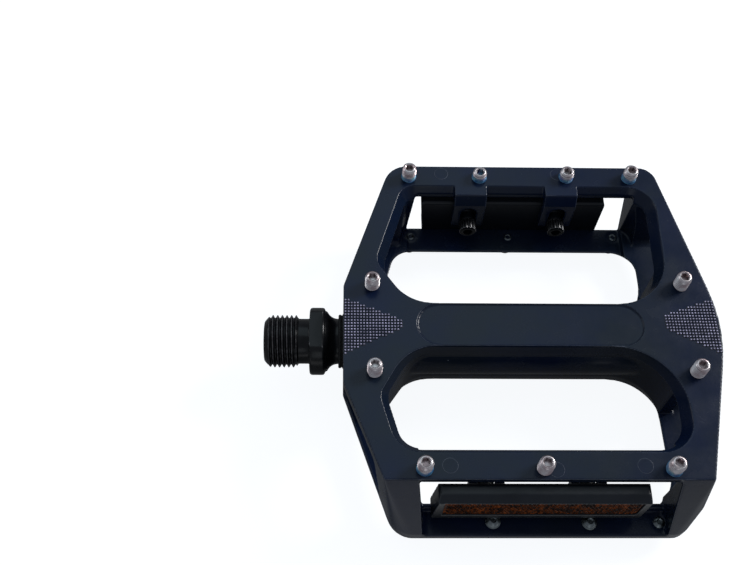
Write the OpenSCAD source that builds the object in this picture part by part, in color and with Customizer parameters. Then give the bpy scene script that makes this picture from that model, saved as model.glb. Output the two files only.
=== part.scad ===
// Flat bicycle pedal: a hollow cast cage with traction pins and reflectors, turning on a
// cup-and-cone spindle. X runs along the spindle, the crank side is at -X, Z is up.
// The origin is on the spindle axis, at the shoulder that seats on the crank arm.
// The cage is the same from both faces: turning it half a turn about X gives it again.

/* [Cage] */
// Length of the cage from its crank end to its outboard tip, along the spindle
cage_length = 100.4; // [96:0.1:104]
// Width of the cage across the riding direction
cage_width = 102.4; // [100:0.2:106]
// Height of the cage between its two faces, without pins
cage_height = 22.2; // [21.6:0.1:23]
// Thickness of the long rails
rail_thickness = 2.3; // [2:0.1:2.8]
// Thickness of the side arms above and below their side openings
arm_thickness = 3.7; // [3.2:0.1:4]
// How far each window widens from its throat to the face, on the arm and rail sides
window_flare = 2.3; // [1.8:0.1:2.4]
// Outer radius of the barrel round the spindle
barrel_radius = 8.8; // [8.4:0.1:9]
// Gap between the crank shoulder and the cage's crank end
shoulder_gap = 9.1; // [8.8:0.1:10]

/* [Traction pins] */
// Thread diameter of a traction pin
pin_diameter = 4; // [3:0.5:4]
// Length of a traction pin
pin_length = 7; // [6.5:0.1:8]
// Usual height of a pin's tip above the face; a few are screwed in a little further
pin_height = 4.6; // [4.2:0.1:4.6]

/* [Spindle] */
// Major diameter of the crank thread, 9/16 inch
thread_diameter = 14.288; // [14.288]
// Length from the shoulder to the spindle's inner end
thread_length = 12.3; // [12:0.1:14]
// Diameter of the collar with the wrench flats
collar_diameter = 18.4; // [17.5:0.1:19]
// Distance across the wrench flats
wrench_flats = 15; // [15]
// Size of the hex socket in the inner end
hex_socket = 6; // [5:1:6]

/* [Bearings] */
// Diameter of a bearing ball, 1/8 inch
ball_diameter = 3.175; // [3.175]
// Number of balls in the crank-side bearing
inner_ball_count = 13; // [10:1:13]
// Number of balls in the outboard bearing
outer_ball_count = 11; // [8:1:11]

/* [Reflectors] */
// Length of a reflector housing
reflector_length = 54; // [53:0.2:54.6]
// Height of a reflector housing
reflector_height = 13.8; // [13:0.1:14]
// Depth of a reflector housing
reflector_depth = 5.2; // [4.8:0.1:5.3]

/* [Hidden] */

$fn = 64;
EPS = 0.01;
ARC_STEP = 6;          // degrees between two points of a rounded corner
CUT = 5;               // how far a cut runs past the surface it opens

cast_black = [0.10, 0.12, 0.16];
steel_black = [0.13, 0.13, 0.14];
steel_bright = [0.72, 0.72, 0.74];
rubber_black = [0.05, 0.05, 0.05];
plastic_black = [0.07, 0.08, 0.09];
amber = [0.55, 0.22, 0.08];

// Cage frame: the same axes, with X measured from the middle of the platform.
crank_end = -cage_length / 2 - 0.35;
tip_end = cage_length / 2 - 0.35;
body_x = shoulder_gap - crank_end;
half_height = cage_height / 2;
half_width = cage_width / 2;
rail_floor = half_height - rail_thickness;
arm_floor = half_height - arm_thickness;

// Plan of the upper face: the wide rail is on the +Y side, the narrow rail on the -Y side.
narrow_edge = half_width - 8.8;
wide_rail_inner = half_width - 6.8;
narrow_rail_inner = 35.4;
bar_half_width = 6.4;
throat_shift = 1.8;    // leaves the bar's own sides nearly upright
opening_start = [-29.9, -31.6];    // at the wide rail and at the narrow rail
opening_end = [33.5, 33.2];

// Corners of the face as [x, y, radius], counter-clockwise.
face_corners = [
    [crank_end, -16.5, 1.2],
    [crank_end + 10.1, -narrow_edge, 0],
    [tip_end - 8.6, -narrow_edge, 0],
    [tip_end + 1.6, -0.2, 47],
    [tip_end - 10.9, half_width, 5],
    [crank_end + 13.4, half_width, 7],
    [crank_end, 11.5, 1.2]
];

// Corners of the two windows where they meet the upper face, counter-clockwise.
wide_window = [
    [-33.0, bar_half_width, 12.4],
    [37.7, bar_half_width, 14.5],
    [38.8, wide_rail_inner, 8],
    [-33.9, wide_rail_inner, 5],
    [-41.9, 19.3, 6]
];
narrow_window = [
    [-36.8, -narrow_rail_inner, 8],
    [38.3, -narrow_rail_inner, 9],
    [38.2, -bar_half_width, 18],
    [-33.3, -bar_half_width, 13],
    [-41.2, -20.0, 5]
];

// Pin places on the upper face, in the cage frame, and each tip's height beyond the usual.
wide_rail_pin_places = [[-31.9, 47.4, -0.1], [-11.5, 47.4, -1.8], [13.7, 47.6, -1.4], [32, 47.5, -0.5]];
narrow_rail_pin_places = [[-30.4, -39.5, 0], [-0.8, -39.5, 0], [31.3, -39.6, 0]];
crank_side_pin_places = [[-42.8, 11.6, 0.1], [-42.4, -13.6, -0.1]];
outboard_side_pin_places = [[41.2, 12.1, 0.3], [41.6, -13.6, 0.1]];
upper_pin_places = concat(wide_rail_pin_places, narrow_rail_pin_places,
                          crank_side_pin_places, outboard_side_pin_places);
pin_hole_clearance = 0.03;

// Reflector lugs hang from the wide rail and straddle the reflector's bosses.
lug_places = [-14.1, 11.9];
lug_width = 9.2;
lug_face = wide_rail_inner - 4.8;
lug_thickness = 2.6;
lug_foot = -2.8;
boss_diameter = 4.4;
lug_slot_width = boss_diameter + 0.1;
lug_slot_top = 6;

// A rim hangs from the wide rail along its window.
rim_face = wide_rail_inner - window_flare * rail_thickness / arm_thickness + 0.02;
rim_back = rim_face + 1.3;
rim_low = rail_floor - 1.75;

// Reflector, in the cage frame, on the +Y side.
reflector_back = lug_face + lug_thickness;
reflector_front = reflector_back + reflector_depth;
reflector_low = -8;
reflector_start = -28;
lens_start = reflector_start + 2.7;
lens_length = reflector_length - 4.4;
lens_low = reflector_low + 1.2;
lens_height = 9.6;
rear_settling = 0.7;   // the rear reflector sits this much lower in its slots
lens_thickness = 1.6;
lens_seat = 0.4;
screw_head_diameter = 5;
screw_head_height = 3.6;
screw_shank_diameter = 3;
screw_length = 6.5;

// Bearing train, in the shoulder frame.
race_clearance = 0.05;
running_clearance = 0.08;
ball_radius = ball_diameter / 2;
race_radius = ball_radius + race_clearance;
contact = ball_radius * cos(45);
inner_ball_x = shoulder_gap + 6.1;
inner_pitch_radius = 6.95;
inner_seat_radius = 9;
inner_cup_start = inner_ball_x - 1.6;
inner_cup_end = inner_ball_x + 3.4;
outer_ball_x = body_x + 36.2;
outer_pitch_radius = 5.9;
outer_seat_radius = 8.6;
outer_cup_start = outer_ball_x - 2.9;
outer_cup_end = outer_ball_x + 1.6;
barrel_bore_radius = 6.6;
shaft_radius = inner_pitch_radius - race_radius - 0.1;
journal_radius = 6.2;
thread_end_radius = 3.45;
nut_bore_radius = 3.5;
spindle_end = body_x + 45.3;
washer_start = outer_ball_x + 5;
washer_thickness = 1;
nut_start = washer_start + washer_thickness;
nut_height = 3.5;
undercut_length = 2.75;
undercut_radius = 6.15;
collar_length = 4.2;
fillet_end = 7.7;
collar_round = 0.7;
seal_start = fillet_end + 0.1;
seal_radius = 7.6;
cap_start = spindle_end + 0.6;
cap_end = body_x + tip_end - 0.9;

// Geometry helpers: a rounded polygon as points, from corners [x, y, radius].
function xy(corner) = [corner[0], corner[1]];
function unit(v) = v / norm(v);
function neighbour(list, i) = xy(list[(i + len(list)) % len(list)]);
function to_before(list, i) = unit(neighbour(list, i - 1) - neighbour(list, i));
function to_after(list, i) = unit(neighbour(list, i + 1) - neighbour(list, i));
function half_angle(list, i) = acos(to_before(list, i) * to_after(list, i)) / 2;
function bisector(list, i) = unit(to_before(list, i) + to_after(list, i));
function inset(list, distance) = [
    for (i = [0:len(list) - 1])
        let (moved = neighbour(list, i) + bisector(list, i) * distance / sin(half_angle(list, i)))
            [moved[0], moved[1], max(list[i][2] - distance, 0)]
];
function mirrored(list) = [for (i = [len(list) - 1:-1:0]) [list[i][0], -list[i][1], list[i][2]]];
function corner_arc(list, i) =
    let (
        radius = list[i][2],
        half = half_angle(list, i),
        centre = neighbour(list, i) + bisector(list, i) * radius / sin(half),
        start = neighbour(list, i) + to_before(list, i) * radius / tan(half) - centre,
        sweep = 180 - 2 * half,
        steps = ceil(sweep / ARC_STEP),
        first = atan2(start[1], start[0])
    )
    [for (k = [0:steps]) centre + radius * [cos(first + sweep * k / steps), sin(first + sweep * k / steps)]];
function rounded(list) = [
    for (i = [0:len(list) - 1])
        each (list[i][2] > 0 ? corner_arc(list, i) : [neighbour(list, i)])
];

module in_cage_frame() {
    translate([body_x, 0, 0]) children();
}

// Both faces: the upper one, and the same turned half a turn about the spindle.
module on_both_faces() {
    children();
    rotate([180, 0, 0]) children();
}

module slab(corners, low, high) {
    translate([0, 0, low]) linear_extrude(high - low) polygon(rounded(corners));
}

// A profile of [x, radius] turned about the spindle axis.
module turned(profile) {
    rotate([0, 90, 0]) rotate_extrude() polygon([for (p = profile) [p[1], p[0]]]);
}

module bar_along_x(diameter, from, to) {
    translate([from, 0, 0]) rotate([0, 90, 0]) cylinder(d = diameter, h = to - from);
}

// A profile in [y, z] drawn out along X.
module drawn_along_x(from, to) {
    translate([from, 0, 0]) rotate([90, 0, 90]) linear_extrude(to - from) children();
}

// ---- Cage ----

// The outboard corner posts on the +Y side swell outwards: [x, y, z, radius] up the post.
outboard_post = [[39.7, 43.2, -3.7, 2], [38.6, 44.5, 0, 3], [36.5, 45.5, 3.7, 4]];

// The outer skin: upper and lower face plates with the sloping ends drawn between them.
module cage_skin() {
    hull() {
        slab(face_corners, arm_floor, half_height);
        slab(mirrored(face_corners), -half_height, -arm_floor);
        on_both_faces() for (ring = outboard_post)
            translate([ring[0], ring[1], ring[2]])
                cylinder(r = ring[3], h = EPS, center = true, $fn = 32);
    }
}

// A window's throat: the face outline drawn in, and drawn back towards the spindle bar.
module throat(corners, towards_bar, low, high) {
    for (shift = [0, towards_bar])
        translate([0, shift, 0]) slab(inset(corners, window_flare), low, high);
}

// One window through a face plate, widening towards the face.
module window(corners, towards_bar) {
    hull() {
        throat(corners, towards_bar, arm_floor - EPS, arm_floor);
        slab(corners, half_height, half_height + EPS);
    }
}

// The space between the faces inside the wide window's outline.
module inner_space() {
    throat(wide_window, -throat_shift, -arm_floor - EPS, arm_floor + EPS);
}

// The long opening in a side, above the wide rail's floor and below the narrow rail. Its
// ends lean, so the posts are a little wider at the wide rail.
module rail_opening() {
    reach = half_height + CUT;
    lean = (opening_start[1] - opening_start[0]) / (2 * rail_floor);
    intersection() {
        drawn_along_x(opening_start[1] - CUT, opening_end[0] + CUT)
            polygon([
                [-narrow_edge, reach],
                [-narrow_edge, rail_floor],
                [-narrow_rail_inner + CUT, rail_floor],
                [-narrow_rail_inner + CUT, -rail_floor],
                [-half_width - CUT, -rail_floor],
                [-half_width - CUT, reach]
            ]);
        rotate([90, 0, 0]) linear_extrude(half_width + 2 * CUT)
            polygon(rounded([
                [opening_start[0], -rail_floor, 1.5],
                [opening_end[0], -rail_floor, 0.8],
                [opening_end[1], reach, 0],
                [opening_start[1] + lean * (reach - rail_floor), reach, 0]
            ]));
    }
}

// The side openings through both arms on the +Y side, their outer ends sloped like the cage ends.
module arm_openings() {
    slot_corners = [
        [13.2, -arm_floor, 1.5],
        [36.5, -arm_floor, 2.4],
        [41, arm_floor, 1.5],
        [12.2, arm_floor, 2.4]
    ];
    pocket_depth = 11;
    intersection() {
        drawn_along_x(crank_end - CUT, tip_end + CUT) polygon(rounded(slot_corners));
        union() {
            slab([
                [crank_end - CUT, 11, 0],
                [crank_end + pocket_depth - 2.6, 11, 0],
                [-43.4, 17.8, 0],
                [-34, 17.8, 0],
                [-29, 48, 0],
                [crank_end - CUT, 48, 0]
            ], -half_height, half_height);
            slab([
                [tip_end + CUT, 11, 0],
                [tip_end + CUT, 48, 0],
                [34, 48, 0],
                [34, 17.8, 0],
                [39.6, 17.8, 0],
                [tip_end - pocket_depth + 1.2, 11, 0]
            ], -half_height, half_height);
        }
    }
}

// The raised bar between the windows keeps a shallow rounded recess in each face.
module bar_recess() {
    recess_depth = 0.5;
    recess_start = -31;
    recess_end = 29.6;
    recess_radius = 6.2;
    translate([0, 0, half_height - recess_depth]) {
        translate([recess_start + recess_radius, 0, 0]) cylinder(r = recess_radius, h = CUT);
        translate([recess_end - recess_radius, 0, 0]) cylinder(r = recess_radius, h = CUT);
        translate([recess_start + recess_radius, -recess_radius, 0])
            cube([recess_end - recess_start - 2 * recess_radius, 2 * recess_radius, CUT]);
    }
}

module rail_rim() {
    drawn_along_x(opening_start[1] - 1, opening_end[0] + 1)
        polygon([
            [rim_face, rail_floor],
            [rim_face, rim_low],
            [rim_back, rim_low],
            [rim_back + 0.3, rail_floor],
            [rim_back + 0.3, rail_floor + 0.5],
            [rim_face + 0.6, rail_floor + 0.5]
        ]);
}

// A lug under the wide rail: a tab level with the face, and a forked plate for a boss.
module reflector_lug(x) {
    difference() {
        translate([x, 0, 0]) {
            drawn_along_x(-lug_width / 2, lug_width / 2)
                polygon([
                    [lug_face, rail_floor - 1],
                    [lug_face, lug_foot],
                    [lug_face + lug_thickness, lug_foot],
                    [lug_face + lug_thickness, rim_low],
                    [rim_back, rim_low],
                    [rim_back + 0.3, rail_floor],
                    [wide_rail_inner + 1, rail_floor],
                    [wide_rail_inner + 1, half_height],
                    [lug_face + 1.6, half_height]
                ]);
        }
        translate([x, lug_face - CUT, 0]) {
            translate([0, 0, lug_slot_top - lug_slot_width / 2]) rotate([-90, 0, 0])
                cylinder(d = lug_slot_width, h = 2 * CUT);
            translate([-lug_slot_width / 2, 0, lug_foot - CUT])
                cube([lug_slot_width, 2 * CUT, lug_slot_top - lug_slot_width / 2 - lug_foot + CUT]);
        }
    }
}

module pin_holes() {
    for (place = upper_pin_places)
        translate([place[0], place[1], arm_floor - 0.4])
            cylinder(d = pin_diameter + 2 * pin_hole_clearance, h = arm_thickness + CUT, $fn = 32);
}

// Bores for the spindle, the two bearing cups and the end cap.
module spindle_bores() {
    turned([
        [shoulder_gap - CUT, 0],
        [shoulder_gap - CUT, inner_seat_radius],
        [inner_cup_end, inner_seat_radius],
        [inner_cup_end, barrel_bore_radius],
        [outer_cup_start, barrel_bore_radius],
        [outer_cup_start, outer_seat_radius],
        [body_x + tip_end + CUT, outer_seat_radius],
        [body_x + tip_end + CUT, 0]
    ]);
}

module pedal_body() {
    color(cast_black)
    difference() {
        in_cage_frame() difference() {
            union() {
                difference() {
                    cage_skin();
                    on_both_faces() {
                        window(wide_window, -throat_shift);
                        window(narrow_window, throat_shift);
                        inner_space();
                        rail_opening();
                        arm_openings();
                        bar_recess();
                    }
                }
                bar_along_x(2 * barrel_radius, -36, 36);
                on_both_faces() {
                    rail_rim();
                    for (x = lug_places) reflector_lug(x);
                }
            }
            on_both_faces() pin_holes();
        }
        spindle_bores();
    }
}

// ---- Spindle ----

// Points of a concave or convex quarter between two angles about a centre [x, radius].
function arc_profile(centre, radius, from, to, steps = 12) =
    let (turn = (to - from) / steps)
    [for (k = [0:steps]) centre + radius * [cos(from + turn * k), sin(from + turn * k)]];

module spindle_blank() {
    chamfer = 1.6;
    thread_radius = thread_diameter / 2;
    collar_radius = collar_diameter / 2;
    fillet_radius = collar_radius - collar_round - journal_radius + 0.9;
    turned(concat(
        [
            [-thread_length, 0],
            [-thread_length, thread_radius - chamfer],
            [-thread_length + chamfer, thread_radius],
            [-undercut_length - 0.6, thread_radius],
            [-undercut_length, undercut_radius],
            [0, undercut_radius],
            [0, collar_radius - collar_round],
            [collar_round, collar_radius],
            [collar_length - collar_round, collar_radius],
            [collar_length, collar_radius - collar_round]
        ],
        arc_profile([fillet_end, journal_radius + fillet_radius], fillet_radius, 205, 270),
        [
            [inner_ball_x - ball_radius, journal_radius]
        ],
        arc_profile([inner_ball_x, inner_pitch_radius], race_radius, 207, 270),
        [
            [inner_ball_x, shaft_radius],
            [inner_ball_x + 6, shaft_radius],
            [inner_ball_x + 12, shaft_radius - 0.6],
            [outer_ball_x - 6, thread_end_radius + 0.5],
            [outer_ball_x - 5, thread_end_radius],
            [spindle_end - 0.6, thread_end_radius],
            [spindle_end, thread_end_radius - 0.6],
            [spindle_end, 0]
        ]
    ));
}

module spindle() {
    socket_depth = 7;
    color(steel_black)
    difference() {
        spindle_blank();
        for (side = [-1, 1])
            translate([-1, -collar_diameter / 2, side > 0 ? wrench_flats / 2 : -wrench_flats / 2 - CUT])
                cube([collar_length - collar_round + 1, collar_diameter, CUT]);
        translate([-thread_length - CUT, 0, 0]) rotate([0, 90, 0])
            cylinder(d = hex_socket / cos(30), h = socket_depth + CUT, $fn = 6);
    }
}

// ---- Bearings and their fasteners ----

module dust_seal() {
    flange_start = shoulder_gap + 0.5;
    color(rubber_black)
        turned([
            [seal_start, journal_radius + running_clearance],
            [seal_start, seal_radius - 0.4],
            [seal_start + 0.4, seal_radius],
            [flange_start, seal_radius],
            [flange_start, inner_seat_radius],
            [inner_cup_start, inner_seat_radius],
            [inner_cup_start, inner_seat_radius - 1.2],
            [flange_start + 1.6, inner_seat_radius - 1.2],
            [flange_start + 1.6, journal_radius + running_clearance]
        ]);
}

module inner_bearing_cup() {
    color(steel_bright)
        turned(concat(
            [
                [inner_cup_start, inner_seat_radius],
                [inner_cup_start, inner_pitch_radius + race_radius]
            ],
            arc_profile([inner_ball_x, inner_pitch_radius], race_radius, 90, 0),
            [
                [inner_cup_end, inner_pitch_radius],
                [inner_cup_end, inner_seat_radius]
            ]
        ));
}

module outer_bearing_cup() {
    color(steel_bright)
        turned(concat(
            [
                [outer_cup_end, outer_seat_radius],
                [outer_cup_end, outer_pitch_radius + race_radius]
            ],
            arc_profile([outer_ball_x, outer_pitch_radius], race_radius, 90, 180),
            [
                [outer_cup_start, outer_pitch_radius],
                [outer_cup_start, outer_seat_radius]
            ]
        ));
}

module ball_ring(x, pitch_radius, count) {
    for (i = [0:count - 1])
        rotate([360 * i / count, 0, 0]) translate([x, 0, pitch_radius]) sphere(r = ball_radius);
}

module inner_bearing_balls() {
    color(steel_bright) ball_ring(inner_ball_x, inner_pitch_radius, inner_ball_count);
}

module outer_bearing_balls() {
    color(steel_bright) ball_ring(outer_ball_x, outer_pitch_radius, outer_ball_count);
}

module cone_nut() {
    nut_flats = 11;
    nose_end = outer_ball_x + ball_radius;
    rim_radius = outer_pitch_radius - 0.2;
    color(steel_bright)
    difference() {
        union() {
            turned(concat(
                [
                    [outer_ball_x - 0.2, nut_bore_radius],
                    [outer_ball_x - 0.2, outer_pitch_radius - race_radius]
                ],
                arc_profile([outer_ball_x, outer_pitch_radius], race_radius, 270, 350),
                [
                    [nose_end + 0.4, rim_radius],
                    [nose_end + 0.4, nut_bore_radius]
                ]
            ));
            translate([nose_end + 0.3, 0, 0]) rotate([0, 90, 0])
                cylinder(d = nut_flats / cos(30), h = washer_start - nose_end - 0.3, $fn = 6);
        }
        bar_along_x(2 * nut_bore_radius, outer_ball_x - CUT, washer_start + CUT);
    }
}

module lock_washer() {
    washer_radius = 6.4;
    color(steel_bright)
    difference() {
        bar_along_x(2 * washer_radius, washer_start, nut_start);
        bar_along_x(2 * nut_bore_radius, washer_start - CUT, nut_start + CUT);
    }
}

module lock_nut() {
    nut_flats = 12;
    color(steel_bright)
    difference() {
        translate([nut_start, 0, 0]) rotate([0, 90, 0])
            cylinder(d = nut_flats / cos(30), h = nut_height, $fn = 6);
        bar_along_x(2 * nut_bore_radius, nut_start - CUT, nut_start + nut_height + CUT);
    }
}

module end_cap() {
    dimple_radius = 2.5;
    skirt_length = 2.4;
    skirt_wall = 1;
    color(plastic_black)
        turned([
            [cap_start, 0],
            [cap_start, outer_seat_radius - skirt_wall],
            [cap_start - skirt_length, outer_seat_radius - skirt_wall],
            [cap_start - skirt_length, outer_seat_radius],
            [cap_end - 0.5, outer_seat_radius],
            [cap_end, outer_seat_radius - 0.5],
            [cap_end, dimple_radius],
            [cap_end - 0.6, dimple_radius - 0.6],
            [cap_end - 0.6, 0]
        ]);
}

// ---- Reflectors, drawn on the +Y side of the cage ----

module reflector_housing() {
    reflector_end = reflector_start + reflector_length;
    reflector_high = reflector_low + reflector_height;
    end_slope = 1.2;
    bevel = [2.2, 1];
    color(plastic_black)
    difference() {
        union() {
            intersection() {
                drawn_along_x(reflector_start, reflector_end)
                    polygon(rounded([
                        [reflector_back, reflector_low, 1],
                        [reflector_front - bevel[0], reflector_low, 0],
                        [reflector_front, reflector_low + bevel[1], 0.3],
                        [reflector_front, reflector_high, 0.8],
                        [reflector_back, reflector_high, 1]
                    ]));
                translate([0, reflector_front, 0]) rotate([90, 0, 0])
                    linear_extrude(reflector_depth)
                        polygon(rounded([
                            [reflector_start + end_slope, reflector_low, 1],
                            [reflector_end, reflector_low, 1],
                            [reflector_end, reflector_high, 1],
                            [reflector_start, reflector_high, 1]
                        ]));
            }
            for (x = lug_places) translate([x, lug_face, 0]) rotate([-90, 0, 0])
                cylinder(d = boss_diameter, h = lug_thickness + 1);
        }
        translate([lens_start, reflector_front - lens_thickness, lens_low])
            cube([lens_length, CUT, lens_height]);
        for (x = lug_places) translate([x, lug_face - CUT, 0]) rotate([-90, 0, 0])
            cylinder(d = screw_shank_diameter + 2 * pin_hole_clearance, h = CUT + screw_length - 1);
    }
}

module reflector_lens() {
    color(amber)
        translate([lens_start, reflector_front - lens_thickness, lens_low])
            cube([lens_length, lens_thickness - lens_seat, lens_height]);
}

module reflector_screws() {
    socket_size = 2.5;
    socket_depth = 1.6;
    color(steel_black)
    for (x = lug_places) translate([x, lug_face - screw_head_height, 0]) rotate([-90, 0, 0])
        difference() {
            union() {
                cylinder(d = screw_head_diameter, h = screw_head_height);
                cylinder(d = screw_shank_diameter, h = screw_head_height + screw_length - 1.8);
            }
            translate([0, 0, -EPS]) cylinder(d = socket_size / cos(30), h = socket_depth, $fn = 6);
        }
}

// The upper lugs carry the rear reflector, the lower lugs the front one.
module at_rear() {
    translate([body_x, 0, -rear_settling]) children();
}

module at_front() {
    rotate([180, 0, 0]) in_cage_frame() children();
}

module rear_reflector_housing() { at_rear() reflector_housing(); }
module rear_reflector_lens() { at_rear() reflector_lens(); }
module rear_reflector_screws() { at_rear() reflector_screws(); }
module front_reflector_housing() { at_front() reflector_housing(); }
module front_reflector_lens() { at_front() reflector_lens(); }
module front_reflector_screws() { at_front() reflector_screws(); }

// ---- Traction pins ----

module traction_pin() {
    tip_chamfer = 0.6;
    point_chamfer = 0.7;
    socket_size = 2;
    socket_depth = 2;
    difference() {
        rotate_extrude() polygon([
            [0, 0],
            [pin_diameter / 2 - point_chamfer, 0],
            [pin_diameter / 2, point_chamfer],
            [pin_diameter / 2, pin_length - tip_chamfer],
            [pin_diameter / 2 - tip_chamfer, pin_length],
            [0, pin_length]
        ]);
        translate([0, 0, pin_length - socket_depth])
            cylinder(d = socket_size / cos(30), h = socket_depth + CUT, $fn = 6);
    }
}

module pin_group(places) {
    color(steel_bright) in_cage_frame()
        for (place = places)
            translate([place[0], place[1], half_height + pin_height + place[2] - pin_length])
                traction_pin();
}

module top_wide_rail_pins() { pin_group(wide_rail_pin_places); }
module top_narrow_rail_pins() { pin_group(narrow_rail_pin_places); }
module top_crank_side_pins() { pin_group(crank_side_pin_places); }
module top_outboard_side_pins() { pin_group(outboard_side_pin_places); }
module bottom_wide_rail_pins() { rotate([180, 0, 0]) top_wide_rail_pins(); }
module bottom_narrow_rail_pins() { rotate([180, 0, 0]) top_narrow_rail_pins(); }
module bottom_crank_side_pins() { rotate([180, 0, 0]) top_crank_side_pins(); }
module bottom_outboard_side_pins() { rotate([180, 0, 0]) top_outboard_side_pins(); }

pedal_body();
spindle();
dust_seal();
inner_bearing_cup();
inner_bearing_balls();
outer_bearing_cup();
outer_bearing_balls();
cone_nut();
lock_washer();
lock_nut();
end_cap();
front_reflector_housing();
front_reflector_lens();
front_reflector_screws();
rear_reflector_housing();
rear_reflector_lens();
rear_reflector_screws();
top_wide_rail_pins();
top_narrow_rail_pins();
top_crank_side_pins();
top_outboard_side_pins();
bottom_wide_rail_pins();
bottom_narrow_rail_pins();
bottom_crank_side_pins();
bottom_outboard_side_pins();
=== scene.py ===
"""Flat bicycle pedal: a hollow cast cage with grip pins and amber reflectors, turning on a
threaded black spindle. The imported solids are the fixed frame; each class dresses one part."""
import logging
import math
from dataclasses import dataclass, field
from enum import Enum
from typing import Iterable, Optional, Sequence

import bmesh
import bpy
from mathutils import Matrix, Vector
from mathutils.bvhtree import BVHTree


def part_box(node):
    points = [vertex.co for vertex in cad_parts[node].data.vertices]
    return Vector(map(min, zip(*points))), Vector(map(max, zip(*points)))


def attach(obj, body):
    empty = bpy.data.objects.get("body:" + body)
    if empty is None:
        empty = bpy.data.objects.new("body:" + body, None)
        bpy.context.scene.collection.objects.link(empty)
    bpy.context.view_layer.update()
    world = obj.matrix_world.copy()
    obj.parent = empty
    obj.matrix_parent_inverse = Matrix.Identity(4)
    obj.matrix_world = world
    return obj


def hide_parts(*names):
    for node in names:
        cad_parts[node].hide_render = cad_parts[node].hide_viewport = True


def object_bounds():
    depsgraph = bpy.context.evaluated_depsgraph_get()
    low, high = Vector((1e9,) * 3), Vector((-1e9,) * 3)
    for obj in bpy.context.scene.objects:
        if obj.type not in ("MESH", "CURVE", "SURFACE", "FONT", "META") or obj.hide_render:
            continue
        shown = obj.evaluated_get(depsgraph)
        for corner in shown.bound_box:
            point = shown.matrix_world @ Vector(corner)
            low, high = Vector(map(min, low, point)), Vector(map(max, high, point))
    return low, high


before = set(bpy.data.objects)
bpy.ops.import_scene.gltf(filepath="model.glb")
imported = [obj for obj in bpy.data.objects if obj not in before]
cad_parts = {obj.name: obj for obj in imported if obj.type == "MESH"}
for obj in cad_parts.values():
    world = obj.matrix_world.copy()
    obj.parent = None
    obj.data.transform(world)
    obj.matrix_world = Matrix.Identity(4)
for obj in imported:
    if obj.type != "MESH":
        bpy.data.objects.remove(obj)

Colour = tuple[float, float, float]
Profile = tuple[tuple[float, float], ...]
Socket = bpy.types.NodeSocket

LOG = logging.getLogger("flat_pedal")
CAD_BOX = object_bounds()
MM = 0.001
FULL_TURN = 2 * math.pi
HALF_TURN = Matrix.Rotation(math.pi, 4, "X")
ALONG_X = Matrix.Rotation(math.pi / 2, 4, "Y")
ROUNDING = (0.0, 0.4, 0.8, 1.2, math.pi / 2)
CAGE_HALF = 50.55 * MM
CAGE_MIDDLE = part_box("pedal_body")[0].x + CAGE_HALF
FACE_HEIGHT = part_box("pedal_body")[1].z
EDGE_CURVE = "edge_curve"
WELD_GAP = 2e-6
LEAST_AREA = 1e-12
SMOOTH_BELOW = 34.0
PIN_NODES = [f"{face}_{group}_pins" for face in ("top", "bottom")
             for group in ("wide_rail", "narrow_rail", "crank_side", "outboard_side")]


class Outline(Enum):
    """Section of a turned part across its axis."""

    ROUND = "round"
    HEX = "hex"
    FLATS = "flats"
    RIBS = "ribs"


# ---------------------------------------------------------------- materials


@dataclass(frozen=True)
class Ramp:
    """Turns the values from low to high into start to end, clamped at both."""

    low: float
    high: float
    start: float = 0.0
    end: float = 1.0


@dataclass(frozen=True)
class Patches:
    """A noise field turned by a ramp: cells per metre, finer octaves and their strength."""

    scale: float
    detail: float
    rough: float
    ramp: Ramp


@dataclass(frozen=True)
class Tooth:
    """Relief from a noise field, like Patches, with its depth in millimetres."""

    scale: float
    detail: float
    rough: float
    depth: float


@dataclass(frozen=True)
class Lines:
    """Relief that runs one way: cells per metre along each axis, and depth in millimetres."""

    scale: tuple[float, float, float]
    depth: float


def by_height(low: float, high: float, start: float = 0.0, end: float = 1.0) -> Ramp:
    """A ramp between two heights above the cage's face, in millimetres."""
    return Ramp(FACE_HEIGHT + low * MM, FACE_HEIGHT + high * MM, start, end)


class Wiring:
    """Short calls for adding nodes to a tree."""

    def __init__(self, tree: bpy.types.NodeTree) -> None:
        """Keeps the tree that the calls work on."""
        self.tree = tree

    def connect(self, value: object, socket: Socket) -> None:
        """Links an output to an input, or sets a plain value on the input.

        Args:
            value: The output or the value.
            socket: The input.
        """
        if isinstance(value, Socket):
            self.tree.links.new(value, socket)
        else:
            socket.default_value = value

    def node(self, kind: str, **inputs: object) -> bpy.types.Node:
        """Adds a node and connects its inputs.

        Args:
            kind: The node's type.
            inputs: Outputs or plain values by input name, with _ for each space.

        Returns:
            The node.
        """
        node = self.tree.nodes.new(kind)
        for name, value in inputs.items():
            self.connect(value, node.inputs[name.replace("_", " ")])
        return node


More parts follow.
